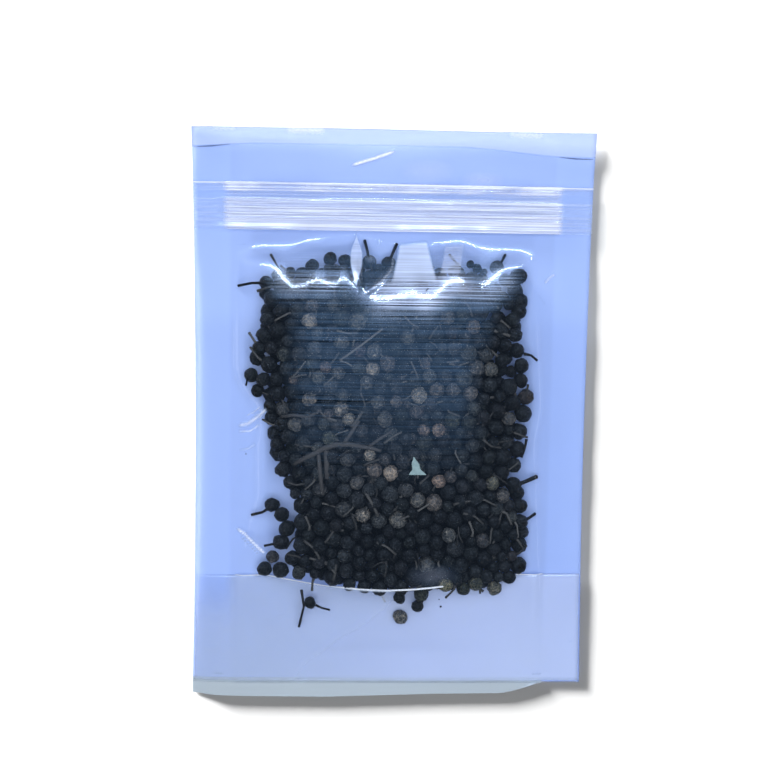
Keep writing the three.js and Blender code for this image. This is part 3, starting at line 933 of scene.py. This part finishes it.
# %% Loose bits between the berries, and a few dark specks
LOOSE_BITS, BIT_MARGIN = 80, 1.5
SPECKS = [  # x, y, width
    (-35.2, 49.2, 0.4), (-27.3, 49.2, 0.35), (-36.4, -10.9, 0.28), (13.1, -48.7, 0.5), (12.6, -46.6, 0.3),
]
loose = 0
while loose < LOOSE_BITS:
    x, y = chance.uniform((-33, -44), (34, 37))
    inside, _ = heap_edge(np.array([x]), np.array([y]))
    if inside[0] < BIT_MARGIN:
        continue
    turn, length, r = chance.uniform(0, math.pi), chance.uniform(1.6, 4.8), chance.uniform(0.18, 0.36)
    dx, dy = length / 2 * math.cos(turn), length / 2 * math.sin(turn)
    bend = chance.normal() * 0.12
    tone = chance.uniform(0.1, 0.5) * float(smooth(y, -34, 4) * 0.6 + 0.4)  # darker in the lower half
    bit = [(x - dx, y - dy, r), (x - bend * dy, y + bend * dx, r * 0.9), (x + dx, y + dy, r * 0.8)]
    under_film(bit, tone, stalks, chance.uniform(0.3, 1.8))
    loose += 1
for x, y, size in SPECKS:
    r, z = size / 2, float(cushion(x, y)) - 0.4
    stalks.add(rod([(x - r, y, z), (x + r, y, z)], [r, r * 0.8]), HERE, 0)
stalk_piece = stalks.finish("stalks", STALK_FINISH)
twig_piece = twigs.finish("twigs", TWIG_FINISH)
print("triangles in stalks:", triangles(stalk_piece))

# %% [markdown]
# One chip of pale dry leaf lies near the middle. It is a small sheet, cut from a grid with its corners
# drawn in, curled, and given a little thickness with the solidify operator.


# %% Leaf chip
def leaf_chip():
    bm = bmesh.new()
    bmesh.ops.create_grid(bm, x_segments=5, y_segments=7, size=1)
    for v in bm.verts:
        s, t = v.co.x, v.co.y
        half = 1.5 * (1 - t) * (0.75 + 0.2 * math.sin(5 * t)) / 1.4 + 0.15
        x, y = 5.3 + s * half + 0.5 * (1 - t), -11.9 + 2.2 * t
        v.co = (x, y, float(cushion(x, y)) - 0.16 - 0.08 * s * s)
    thickened(bm, 0.12)
    return to_mesh(bm, "leaf chip")


def leaf_finish():
    leaf = Finish("dry leaf")
    shade = leaf.blend(leaf.noise(leaf.place(), 1.2, 3.0), colour(92, 116, 122), colour(150, 176, 182))
    return leaf.show(leaf.solid_colour(shade, 0.7, 0.25))


chip_piece = piece(leaf_chip(), "leaf_chip", leaf_finish())
print("leaf chip:", len(chip_piece.data.polygons), "faces")

# %% [markdown]
# ## Film
#
# Clear film is hard to fake with one glassy block: what matters is that there are two sheets, each with its
# own veil. The front one is almost clear, with a gloss that shows where the lamp is mirrored, and with
# painted highlights and a painted reflection of the lamp in its milk. The back one is milky and blue, and
# that is where the pouch's colour comes from. Both are drawn as one closed envelope: a flat grid is
# copied, the copy turned over, and the two borders bridged. Each of its points is then set at its own
# height, and also carries how much painted white and painted glow the film has there, along the creases
# and round the shoulder. The grid is fine where creases are, and coarse along the seals.


# %% Grid lines
def lines(*stops):
    """Positions from stop to stop: first value, then pairs of step and next value."""
    found = [stops[0]]
    for step, end in zip(stops[1::2], stops[2::2]):
        count = max(1, round((end - found[-1]) / step))
        found += list(np.linspace(found[-1], end, count + 1)[1:])
    return np.array(found)


FILM_X = lines(-HALF_WIDTH, 1.25, -42.5, 0.55, 42.5, 1.25, HALF_WIDTH)
FILM_Y = lines(-HALF_HEIGHT, 0.8, -48, 0.35, -43, 0.5, 47, 1.0, 57, 0.35, 66, 0.6, HALF_HEIGHT)


def grid_over(xs, ys):
    """A flat grid whose lines are at xs and ys."""
    bm = bmesh.new()
    bmesh.ops.create_grid(bm, x_segments=len(xs) - 1, y_segments=len(ys) - 1, size=1)
    for v in bm.verts:
        i = round((v.co.x + 1) / 2 * (len(xs) - 1))
        j = round((v.co.y + 1) / 2 * (len(ys) - 1))
        v.co = (xs[i], ys[j], 0)
    return bm


def places(bm):
    """X and Y of every vertex."""
    return np.array([v.co for v in bm.verts]).T[:2]


def put(bm, x, y, z):
    for v, at in zip(bm.verts, zip(x, y, z)):
        v.co = at


print("film grid:", len(FILM_X), "by", len(FILM_Y), "lines")

# %% Both sheets as one envelope
NEAREST = 0.2  # the sheets never come closer than this


def drawn_in(x, y):
    """The long edges run a little nearer to each other at mid height."""
    return x * (1 - 0.018 * (1 - (y / HALF_HEIGHT) ** 2))


def envelope():
    bm = grid_over(FILM_X, FILM_Y)
    upper = bm.faces[:]
    copied = bmesh.ops.duplicate(bm, geom=bm.verts[:] + bm.edges[:] + upper)["geom"]
    lower = [g for g in copied if isinstance(g, bmesh.types.BMFace)]
    bmesh.ops.reverse_faces(bm, faces=lower)
    for face in lower:
        face.material_index = 1
    x, y = places(bm)
    is_back = np.zeros(len(x), bool)
    is_back[[v.index for v in {v for f in lower for v in f.verts}]] = True
    back = underside(x, y)
    z = np.where(is_back, back + 0.02, np.maximum(front(x, y), back + NEAREST))
    white, painted_glow = (bm.verts.layers.float.new(name) for name in ("whitened", "rubbed"))
    put(bm, drawn_in(x, y), y, z)
    for v, v_crease_white, v_glow in zip(bm.verts, whitened(x, y) * ~is_back, rubbed(x, y) * ~is_back):
        v[white], v[painted_glow] = v_crease_white, v_glow
    bmesh.ops.bridge_loops(bm, edges=[e for e in bm.edges if e.is_boundary])
    rounded(bm)
    return to_mesh(bm, "film")


print("flat sheets are drawn in by", round(HALF_WIDTH - float(drawn_in(HALF_WIDTH, 0)), 2), "mm at each side")


# %% [markdown]
# A film's shader is a stack of mixes. First comes how much of it is clear and how much is milk. Then a thin
# gloss goes on top, which grows towards grazing angles as any smooth skin's does. Layer Weight's Facing
# gives that angle.
#
# Over the heap's middle the film carries fine level streaks, like brushed strokes, that veil the berries:
# the lamp above mirrored in the film. Here they are a painted reflection, a stretched noise which thickens
# the milk, and which also breaks up the gloss. Flat panes, the lozenge, the band along the mouth and
# glowing places near the strip and the shoulder are masks of their own, each with more white milk:
# painted highlights and painted reflections of the lamps.


# %% Gloss and milk
CLEAR_TINT = (0.985, 0.99, 1.0, 1.0)  # what a clear sheet lets through
MILKY_TINT = (0.86, 0.92, 1.0, 1.0)


def gloss_over(film, base, streaks, roughness):
    """A skin of reflection on top of base: weak from above, strong at grazing angles."""
    facing = film.node("ShaderNodeLayerWeight", None, {"Blend": 0.5})["Facing"]
    amount = (facing**5.0 * 0.9 + 0.05) * streaks
    mirror = {"Color": (0.9, 0.94, 1.0, 1.0), "Roughness": roughness}
    gloss = film.node("ShaderNodeBsdfAnisotropic", None, mirror)["BSDF"]
    return film.node("ShaderNodeMixShader", None, {0: amount, 1: base, 2: gloss})[0]


def milk_in(film, amount, tint, shade):
    """A sheet that is clear but for an amount of milk."""
    clear = film.node("ShaderNodeBsdfTransparent", None, {"Color": tint})["BSDF"]
    milk = film.solid_colour(shade, 0.6, 0.0)
    return film.node("ShaderNodeMixShader", None, {0: amount, 1: clear, 2: milk})[0]


def sheen(film):
    """Slow unevenness of the gloss."""
    return film.noise(film.place(), 0.08, 1.0) * 0.8 + 0.6


def patch(x, y, middle_x, middle_y, reach_x, reach_y):
    """1 at a place, fading to 0 at the given reach on each side."""
    level = (x - middle_x).math("ABSOLUTE").rise(0, reach_x)
    upright = (y - middle_y).math("ABSOLUTE").rise(0, reach_y)
    return (1.0 - level) * (1.0 - upright)


def between(value, start, full, fading, end):
    """As window, for a shader's value."""
    return value.rise(start, full) * (1.0 - value.rise(fading, end))


print("what a clear sheet lets through:", CLEAR_TINT[:3])


# %% Finishes of the two sheets
def clear_film():
    film = Finish("clear front film")
    where = film.place()
    x, y, _ = film.axes(where)
    fine = film.noise(where, 1.0, 3.0, (0.03, 1.5, 0.0))
    brush = film.noise(where, 1.0, 2.0, (0.025, 3.4, 0.0))
    broad = film.noise(where, 0.5, 1.0, (0.03, 0.4, 0.0))
    # The veil is a painted reflection of the lamp above, in the milk over the heap's middle.
    wander = film.noise(where, 0.12, 1.0) * 6 - 3.0
    opened = x + wander - y.rise(10, 34) * 7.0  # the veil is wider by the shoulder
    painted_veil = (x + wander).rise(-28, -18) * (1.0 - opened.rise(15, 23)) * y.rise(-22, 20)
    painted_veil = painted_veil * (1.0 - (y + wander).rise(35, 44))
    brushed = between(x, -32, -20, 24, 29) * y.rise(-34, 0)
    streaks = ((brush * 0.6 + fine * 0.4 - 0.48) * 8.0 * brushed + 1.0).clamp()
    # The pane, the strip beside it and the lozenge are painted highlights: white milk where their flat faces
    # mirror the lamps.
    slant = (y - 35) * 0.2
    pane = (x - slant).rise(-0.4, 0.6) * (1.0 - (x + slant).rise(9.4, 10.4)) * y.rise(31, 35.4)
    pane = pane * (1.0 - (y - x * 0.12).rise(41.2, 42.4))
    beside = between(x - slant, 11.0, 11.8, 15.6, 16.6) * y.rise(33.5, 37)
    beside = beside * (1.0 - (y - x * 0.12).rise(39.6, 41.0))
    half = y.rise(29, 38) * (1.0 - y.rise(39, 46)) * 1.7
    lozenge = 1.0 - ((x + 9.2).math("ABSOLUTE") - half).rise(-0.5, 0.0)
    # Painted glow round the lamp's bright line over the shoulder.
    painted_glow = film.stored("rubbed")
    # Painted glows in patches, below the heap and by the mouth.
    painted_glow_patches = patch(x, y, 11, -40, 8, 4) + patch(x, y, 8, 60, 9, 4) * 4.0 + patch(x, y, 22, 58, 7, 3) * 5.0
    # The band along the mouth is painted lighter: a painted reflection of the lamp in the curled edge.
    edge = 66.1 - x.rise(15, 44) * 2.0 - (1.0 - x.rise(-50, -32)) * 0.8
    head = (y - edge).rise(-0.3, 0.3)
    # Crease white: partly the film's whitening, partly a painted highlight for the crease's glint.
    grain = film.noise(where, 1.7, 3.0, (1.0, 2.2, 0.0))
    whitening_and_glints = (film.stored("whitened") * 1.7 - (1.0 - grain) * 0.5).clamp()
    white = (pane + beside + lozenge + head + painted_glow_patches + whitening_and_glints * 1.5).clamp()
    shade = film.blend((white + painted_glow * 1.5).clamp(), colour(122, 170, 228), colour(196, 214, 252))
    shade = film.blend(whitening_and_glints, shade, colour(255, 255, 255))
    thick = painted_veil * (0.084 + (brush * 0.8 + fine * 0.5 + broad * 0.2 - 0.75) * 0.38)
    thick = thick + painted_glow_patches * 0.07 + whitening_and_glints * 0.9 + beside * (fine * 0.4 + 0.08)
    thick = thick + pane * (y.rise(31, 37) * 0.3 + 0.1 + fine * 0.65)
    thick = thick + lozenge * (0.3 + fine * 0.5) + head * (broad * 0.5 + 0.2)
    thick = thick + painted_glow * ((brush * 0.7 + fine * 0.3 - 0.43) * 6.0).clamp() * 0.92
    base = milk_in(film, (thick + 0.009).clamp(), CLEAR_TINT, shade)
    toe = between(x, -36, -34, -20, -16) + between(x, 8.5, 10.5, 34, 36) + 0.1
    bend = between(x, -34.5, -31.5, 31, 33.5) + 0.1
    bend = bend + (1.0 - y.rise(20, 26)) * (1.0 - bend)
    by_strip = y.rise(37.6, 39.4)
    shine = bend + by_strip * (toe - bend)
    shine = shine + y.rise(57, 60) * (0.16 - shine)
    return film.show(gloss_over(film, base, streaks * shine, 0.13))


def milky_film():
    film = Finish("milky back film")
    where = film.place()
    x, y, _ = film.axes(where)
    seal = (x.math("ABSOLUTE")).rise(39.6, 41.2)
    milk = film.noise(where, 0.06, 1.0) * 0.06 + 0.68 + seal * 0.06
    base = milk_in(film, milk, MILKY_TINT, colour(160, 188, 252))
    return film.show(gloss_over(film, base, film.noise(where, 0.1, 0.0) * 0.2 + 0.9, 0.2))


FRONT_FINISH, BACK_FINISH = clear_film(), milky_film()
film_piece = piece(envelope(), "film", FRONT_FINISH, BACK_FINISH)
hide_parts("pouch")
print("film triangles:", triangles(film_piece))

# %% [markdown]
# ## Folded foot
#
# The foot is a pleat of the same film between the two sheets. Its folded edge shows as a thin pale
# line below the heap, and its two plies make the pouch paler there. The pleat is a sheet from a grid,
# given thickness with solidify, and the fold is a round bead along its top edge, nearly white: partly the
# fold's own paleness, partly a painted highlight. The back sheet's lower edge shows below the front one
# as a thin lip.

# %% Pleat and lip
FOLD_LINE = [
    (-50, -42), (-39.8, -41.9), (-32, -42), (-25, -43), (-13.5, -44.6), (-8.5, -45.4), (-0.8, -45.7),
    (6, -45.4), (12.3, -44.8), (20, -43.6), (28.5, -41.8), (37.5, -41.3), (50, -41.2),
]
FOOT_X, FOOT_T = lines(-49.6, 1.1, 49.6), lines(0, 1 / 24, 1)
HANG, BLEND = 4.3, 0.4  # how far the pleat hangs below the front sheet, and how softly it meets the back


def pleat_height(x, y):
    """The pleat hangs below the berries of the foot, and closes on the front sheet further down."""
    hung = cushion(x, y) - 0.3 - HANG * smooth(y, -61, -46) * smooth(POCKET_HALF - np.abs(x), 0, 9)
    return BLEND * np.logaddexp(hung / BLEND, (underside(x, y) + 0.12) / BLEND)


def pleat():
    bm = grid_over(FOOT_X, FOOT_T)
    x, t = places(bm)
    top = along_line(FOLD_LINE, x)
    y = top + (1 - t) * (-HALF_HEIGHT + 0.4 - top)
    z = np.minimum(pleat_height(x, y), cushion(x, y) - 0.15)
    put(bm, drawn_in(x, y), y, z)
    thickened(bm, 0.06)
    rounded(bm)
    return to_mesh(bm, "foot pleat")


def fold_bead():
    x = lines(-39.4, 2.0, 40.0)
    pressed = window(x, -16, -10, 12, 21)  # here the berries press the fold against the front
    y = along_line(FOLD_LINE, x) + 1.7 * pressed
    z = np.minimum(pleat_height(x, y), cushion(x, y) - 0.25)
    z = np.maximum(z, cushion(x, y) - 0.3 - 4 * (1 - pressed))
    return rod(list(zip(drawn_in(x, y), y, z)), 0.12 + 0.12 * pressed, 8)


LIP_EDGE = [
    (-50, -73.0), (-46, -73.3), (-38, -73.6), (-16, -73.8), (12, -73), (30, -72.8), (35, -71.6), (38, -70.4),
    (41, -69.7),
]


def lip():
    """The strip of back sheet below the front one, which curls up a little towards the right."""
    bm = grid_over(lines(-HALF_WIDTH, 1.0, 40), lines(0, 0.25, 1))
    x, t = places(bm)
    low = along_line(LIP_EDGE, x)
    z = lift(x, -HALF_HEIGHT) + 0.16 + 0.8 * (1 - t) ** 1.5 * smooth(x, -54, -43)
    put(bm, x, low + t * (-HALF_HEIGHT + 1 - low), z)
    thickened(bm, 0.1)
    return to_mesh(bm, "foot lip")


print("pleat:", len(FOOT_X), "by", len(FOOT_T), "lines")


# %% Finishes of the foot
def plain_film(name, amount, shade):
    film = Finish(name)
    amount = film.noise(film.place(), 0.05, 1.0) * 0.1 + (amount - 0.05)
    base = milk_in(film, amount, (0.9, 0.94, 1.0, 1.0), shade)
    return film.show(gloss_over(film, base, sheen(film), 0.2))


def pleat_film():
    """Milkier and paler towards the right, a painted light gradient, and milkier towards the foot. By the
    left edge it fades out upwards.
    """
    film = Finish("pleated film")
    x, y, _ = film.axes(film.place())
    # The rise towards the right, in amount and in shade, is painted light.
    amount = x.rise(-60, 50) * 0.16 + (1.0 - y.rise(-70, -44)) * 0.07 + 0.22
    amount = amount * (1.0 - (-1.0 * x).rise(37.5, 42.5) * y.rise(-56, -42))
    shade = film.blend(x.rise(-45, 20), colour(198, 214, 236), colour(206, 222, 253))
    base = milk_in(film, amount, CLEAR_TINT, shade)
    return film.show(gloss_over(film, base, sheen(film), 0.2))


pleat_piece = piece(pleat(), "foot_fold", pleat_film())
# The bead's near white is partly a painted highlight along the fold.
bead_piece = piece(fold_bead(), "foot_bead", plain_film("folded edge", 0.8, colour(232, 240, 252)))
lip_piece = piece(lip(), "foot_edge", plain_film("lip film", 0.86, colour(164, 178, 191)))
for made in (pleat_piece, bead_piece, lip_piece):
    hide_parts("pouch")
print("foot triangles:", sum(map(triangles, (pleat_piece, bead_piece, lip_piece))))

# %% [markdown]
# Two short cuts in the side seals, just below the mouth, show where to tear. They look like thin dark
# lines, drawn as thin dark rods: painted shade in the cuts.

# %% Tear cuts
TEAR_CUTS = [[(-49.6, 65.0), (-45, 65.3), (-40.5, 65.8)], [(41, 64.1), (44.5, 63.8), (49.4, 63.7)]]


def tear_cuts():
    """Each cut as a thin raised edge on the front sheet; its dark colour, given below, is painted shade."""
    cuts = Pile()
    for cut in TEAR_CUTS:
        x, y = np.array(cut).T
        line = list(zip(drawn_in(x, y), y, front(x, y) + 0.02))
        cuts.add(rod(line, [0.04, 0.13, 0.05], 5), HERE)
    return cuts


# The cuts' dark colour is painted shade.
cut_piece = tear_cuts().finish("tear_cuts", plain_film("cut edge", 0.8, colour(86, 104, 146)))
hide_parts("pouch")
print("tear cuts:", len(TEAR_CUTS))

# %% [markdown]
# ## Closing strip
#
# The closing strip is a flat tape with ribs along it, welded across the mouth. The ribs are the parts that
# press into each other. Their height is a sum of round bumps across the tape, which wander a little
# and are crushed flat where the side seals cross them. Its white streaks and edge lines are painted
# highlights in its milk, for the lamps mirrored in the ribs and edges.

# %% Strip
RIBS = [  # distance up the sheet, half width, height
    (56.2, 0.36, 0.4), (55.3, 0.32, 0.32), (51.9, 0.5, 0.6), (50.5, 0.45, 0.75), (49.2, 0.42, 0.6),
    (48.0, 0.3, 0.3), (44.9, 0.25, 0.2),
]
RAMPS = [(45.5, 46.9, 0.44), (52.4, 53.2, 0.2), (55.9, 56.6, 0.2)]  # from, to, height at the start


def strip_height(x, y):
    whole = window(x, -45, -42, 40, 42.5)
    total = np.zeros(x.shape)
    for i, (middle, half, rise) in enumerate(RIBS):
        wander = 0.09 * np.sin(x * 0.21 + i * 1.3) + 0.05 * np.sin(x * 0.63 + i * 2.1)
        rise = rise * (0.88 + 0.12 * np.sin(x * 0.37 + i * 2.7))
        total = total + rise * np.exp(-(((y - middle - wander) / half) ** 2))
    for i, (start, end, rise) in enumerate(RAMPS):
        start = start + 0.25 * np.sin(x * 0.09 + i * 2)
        tipped = rise * (0.8 + 0.25 * np.sin(x * 0.13 + 1.7 * i) + 0.2 * np.sin(x * 0.41 + i))
        falling = np.clip(1 - (y - start) / (end - start), 0, 1)
        total = total + tipped * falling * smooth(y, start - 0.3, start)
    return total * (0.18 + 0.82 * whole)


def strip():
    reach = STRIP_REACH + 0.9  # welded out to the long edges
    bm = grid_over(lines(-reach, 0.8, reach), lines(STRIP_LOW + 0.1, 0.14, STRIP_HIGH - 0.1))
    x, y = places(bm)
    z = STRIP_UNDER + 0.4 + strip_height(x, y)
    z += 0.05 * np.sin(0.11 * x) * np.sin(0.5 * y)
    put(bm, x, y, z)
    thickened(bm, 0.15)
    rounded(bm)
    return to_mesh(bm, "closing strip")


def strip_film():
    film = Finish("strip film")
    where = film.place()
    x, y, _ = film.axes(where)
    fine = film.noise(where, 1.0, 3.0, (0.014, 2.4, 0.0))
    # The streaks, the bands and the edge lines are painted highlights: white milk for lamps mirrored in ribs
    # and edges. The crushed ends carry the same painted streaks.
    streak_highlights = ((fine - 0.5) * 7.0).clamp()
    cloud = film.noise(where, 0.09, 2.0, (1.0, 2.5, 0.0)) * 2.2 - 0.5
    inner = between(y, 44.8, 45.6, 52.4, 53.4)
    low = between(y, 45.0, 45.5, 46.8, 47.6)
    upper = between(y, 54.2, 54.8, 56.6, 56.9)
    sealed = x.math("ABSOLUTE").rise(40.5, 42.5)
    lower_edge_highlight, upper_edge_highlight = (1.0 - (y - at).math("ABSOLUTE").rise(0.08, 0.26) for at in (44.5, 56.4))
    crushed = patch(x, y, -40.5, 51.3, 4, 0.9) + patch(x, y, -40, 46.3, 4, 1.0)
    band_highlights = (low * 0.2 + upper * 1.1) * cloud.clamp() * (streak_highlights * 0.7 + 0.35)
    milk = streak_highlights * (inner * 0.36 + 0.2) + crushed * streak_highlights + band_highlights
    milk = (milk + inner * 0.25 + 0.04) * (1.0 - sealed * 0.85) + (lower_edge_highlight + upper_edge_highlight) * 0.4
    base = milk_in(film, milk.clamp(), (0.97, 0.985, 1.0, 1.0), colour(226, 234, 255))
    return film.show(gloss_over(film, base, (fine * 1.4).clamp() * (1.0 - sealed * 0.6), 0.22))


strip_piece = piece(strip(), "closing_strip_ribs", strip_film())
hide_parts("closing_strip")
print("strip triangles:", triangles(strip_piece))

# %% [markdown]
# ## Table, lights and camera
#
# The pouch lies on a white table in soft light. A lamp seen in a shiny film is what draws its creases, and
# a lamp that lights is what shows its colour, so the two jobs go to different lamps: soft ones that only
# light, and a panel, a strip and three glows that only mirror. The table has two distant lamps to itself, a
# low one for the pouch's shadow and a high one that softens it.

# %% Table and backdrop
TABLE_HALF, DOME_RADIUS = 3, 2.9  # in metres
TABLE_WHITE = 0.82  # the share of light that the table throws back


def set_up(bm, name, material):
    """An object of the stage, in metres."""
    made = bpy.data.objects.new(name, to_mesh(bm, name))
    made.data.materials.append(material)
    bpy.context.scene.collection.objects.link(made)
    return made


def table_top():
    bm = bmesh.new()
    bmesh.ops.create_grid(bm, x_segments=1, y_segments=1, size=TABLE_HALF)
    white = Finish("white table")
    surface = white.solid_colour((TABLE_WHITE, TABLE_WHITE, TABLE_WHITE, 1.0), 0.8, 0.0)
    return set_up(bm, "table", white.show(surface))


def backdrop():
    """A white dome round the table, which only the camera sees, for views along the table."""
    bm = bmesh.new()
    bmesh.ops.create_uvsphere(bm, u_segments=48, v_segments=24, radius=DOME_RADIUS)
    bmesh.ops.reverse_faces(bm, faces=bm.faces)
    white = Finish("white backdrop")
    glow = {"Color": (1.0, 1.0, 1.0, 1.0), "Strength": 1.0}
    glow = white.node("ShaderNodeEmission", None, glow)["Emission"]
    made = set_up(bm, "backdrop", white.show(glow))
    made.visible_diffuse = made.visible_glossy = made.visible_shadow = made.visible_transmission = False
    return made


table, dome = table_top(), backdrop()
print("table is", round(table.dimensions.x, 1), "m across")


# %% Lamps
def panel(name, at, aim, size, strength, tint=(1, 1, 1), lights=True, mirrors=True):
    """A rectangular lamp at a place, turned to a point. Strength is its brightness as seen."""
    lamp = bpy.data.lights.new(name, "AREA")
    lamp.shape, lamp.size, lamp.size_y = "RECTANGLE", *size
    lamp.color = tint
    lamp.energy = strength * math.pi * size[0] * size[1]
    made = bpy.data.objects.new(name, lamp)
    made.location = at
    made.rotation_euler = (Vector(aim) - Vector(at)).to_track_quat("-Z", "Y").to_euler()
    made.visible_camera = False
    made.visible_diffuse, made.visible_glossy = lights, mirrors
    bpy.context.scene.collection.objects.link(made)
    return made


def sun(name, coming_from, angle, brightness):
    """A distant lamp that only the table gets, as bright as a white table would then look."""
    lamp = bpy.data.lights.new(name, "SUN")
    lamp.angle = math.radians(angle)
    way = Vector(coming_from).normalized()
    lamp.energy = brightness * math.pi / (TABLE_WHITE * way.z)
    made = bpy.data.objects.new(name, lamp)
    made.rotation_euler = way.to_track_quat("Z", "Y").to_euler()
    made.visible_glossy = False
    made.light_linking.receiver_collection = only_table
    bpy.context.scene.collection.objects.link(made)


only_table = bpy.data.collections.new("only the table")
not_table = bpy.data.collections.new("all but the table")
for group in (only_table, not_table):
    group.objects.link(table)
not_table.collection_objects[0].light_linking.link_state = "EXCLUDE"
soft = panel("soft light above", (0, 0.1, 1.4), (0, 0, 0), (2.2, 2.2), 2.85, mirrors=False)
soft.light_linking.receiver_collection = not_table
panel("mirror panel", (0.05, 0.42, 0.6), (0, 0, 0), (0.7, 0.3), 0.5, (0.5, 0.75, 1.0), lights=False)
panel("mirror strip", (-0.06, 0.55, 0.57), (0, 0, 0), (1.2, 0.024), 75, (0.66, 0.8, 1.0), lights=False)
for wide, tall, glow in ((0.62, 0.1, 5), (0.55, 0.2, 2.6), (0.5, 0.32, 1.6)):
    panel("mirror glow", (0.08, 0.56, 0.55), (0, 0, 0), (wide, tall), glow, (0.46, 0.62, 1.0), lights=False)
sun("table light", (-0.66, 0.7, 0.212), 20, 1.12)
sun("table fill", (0, 0, 1), 60, 0.16)

world = bpy.data.worlds.new("room")
world.use_nodes = True
room_light = world.node_tree.nodes["Background"].inputs
room_light["Color"].default_value = (0.9, 0.95, 1.0, 1.0)
room_light["Strength"].default_value = 0.08
bpy.context.scene.world = world
bpy.context.scene.view_settings.view_transform = "Standard"
bpy.context.scene.cycles.use_denoising = True

# %% Camera
CAMERA_AT = Vector((-10.43, 30.89, 251.73)) * MM
CAMERA_AIM = Vector((-1.62, 8.92, 1.4)) * MM
CAMERA_UP = Vector((-0.0114, 0.9961, -0.0878))

camera = bpy.data.objects.new("camera", bpy.data.cameras.new("camera"))
camera.data.sensor_width, camera.data.lens = 36, 46.75
camera.data.clip_start = 0.01
away = (CAMERA_AT - CAMERA_AIM).normalized()
right = CAMERA_UP.cross(away).normalized()
facing = Matrix((right, away.cross(right), away)).transposed().to_4x4()
camera.matrix_world = Matrix.Translation(CAMERA_AT) @ facing
bpy.context.scene.collection.objects.link(camera)
bpy.context.scene.camera = camera
print("camera", round(CAMERA_AT.z / MM), "mm above the table")
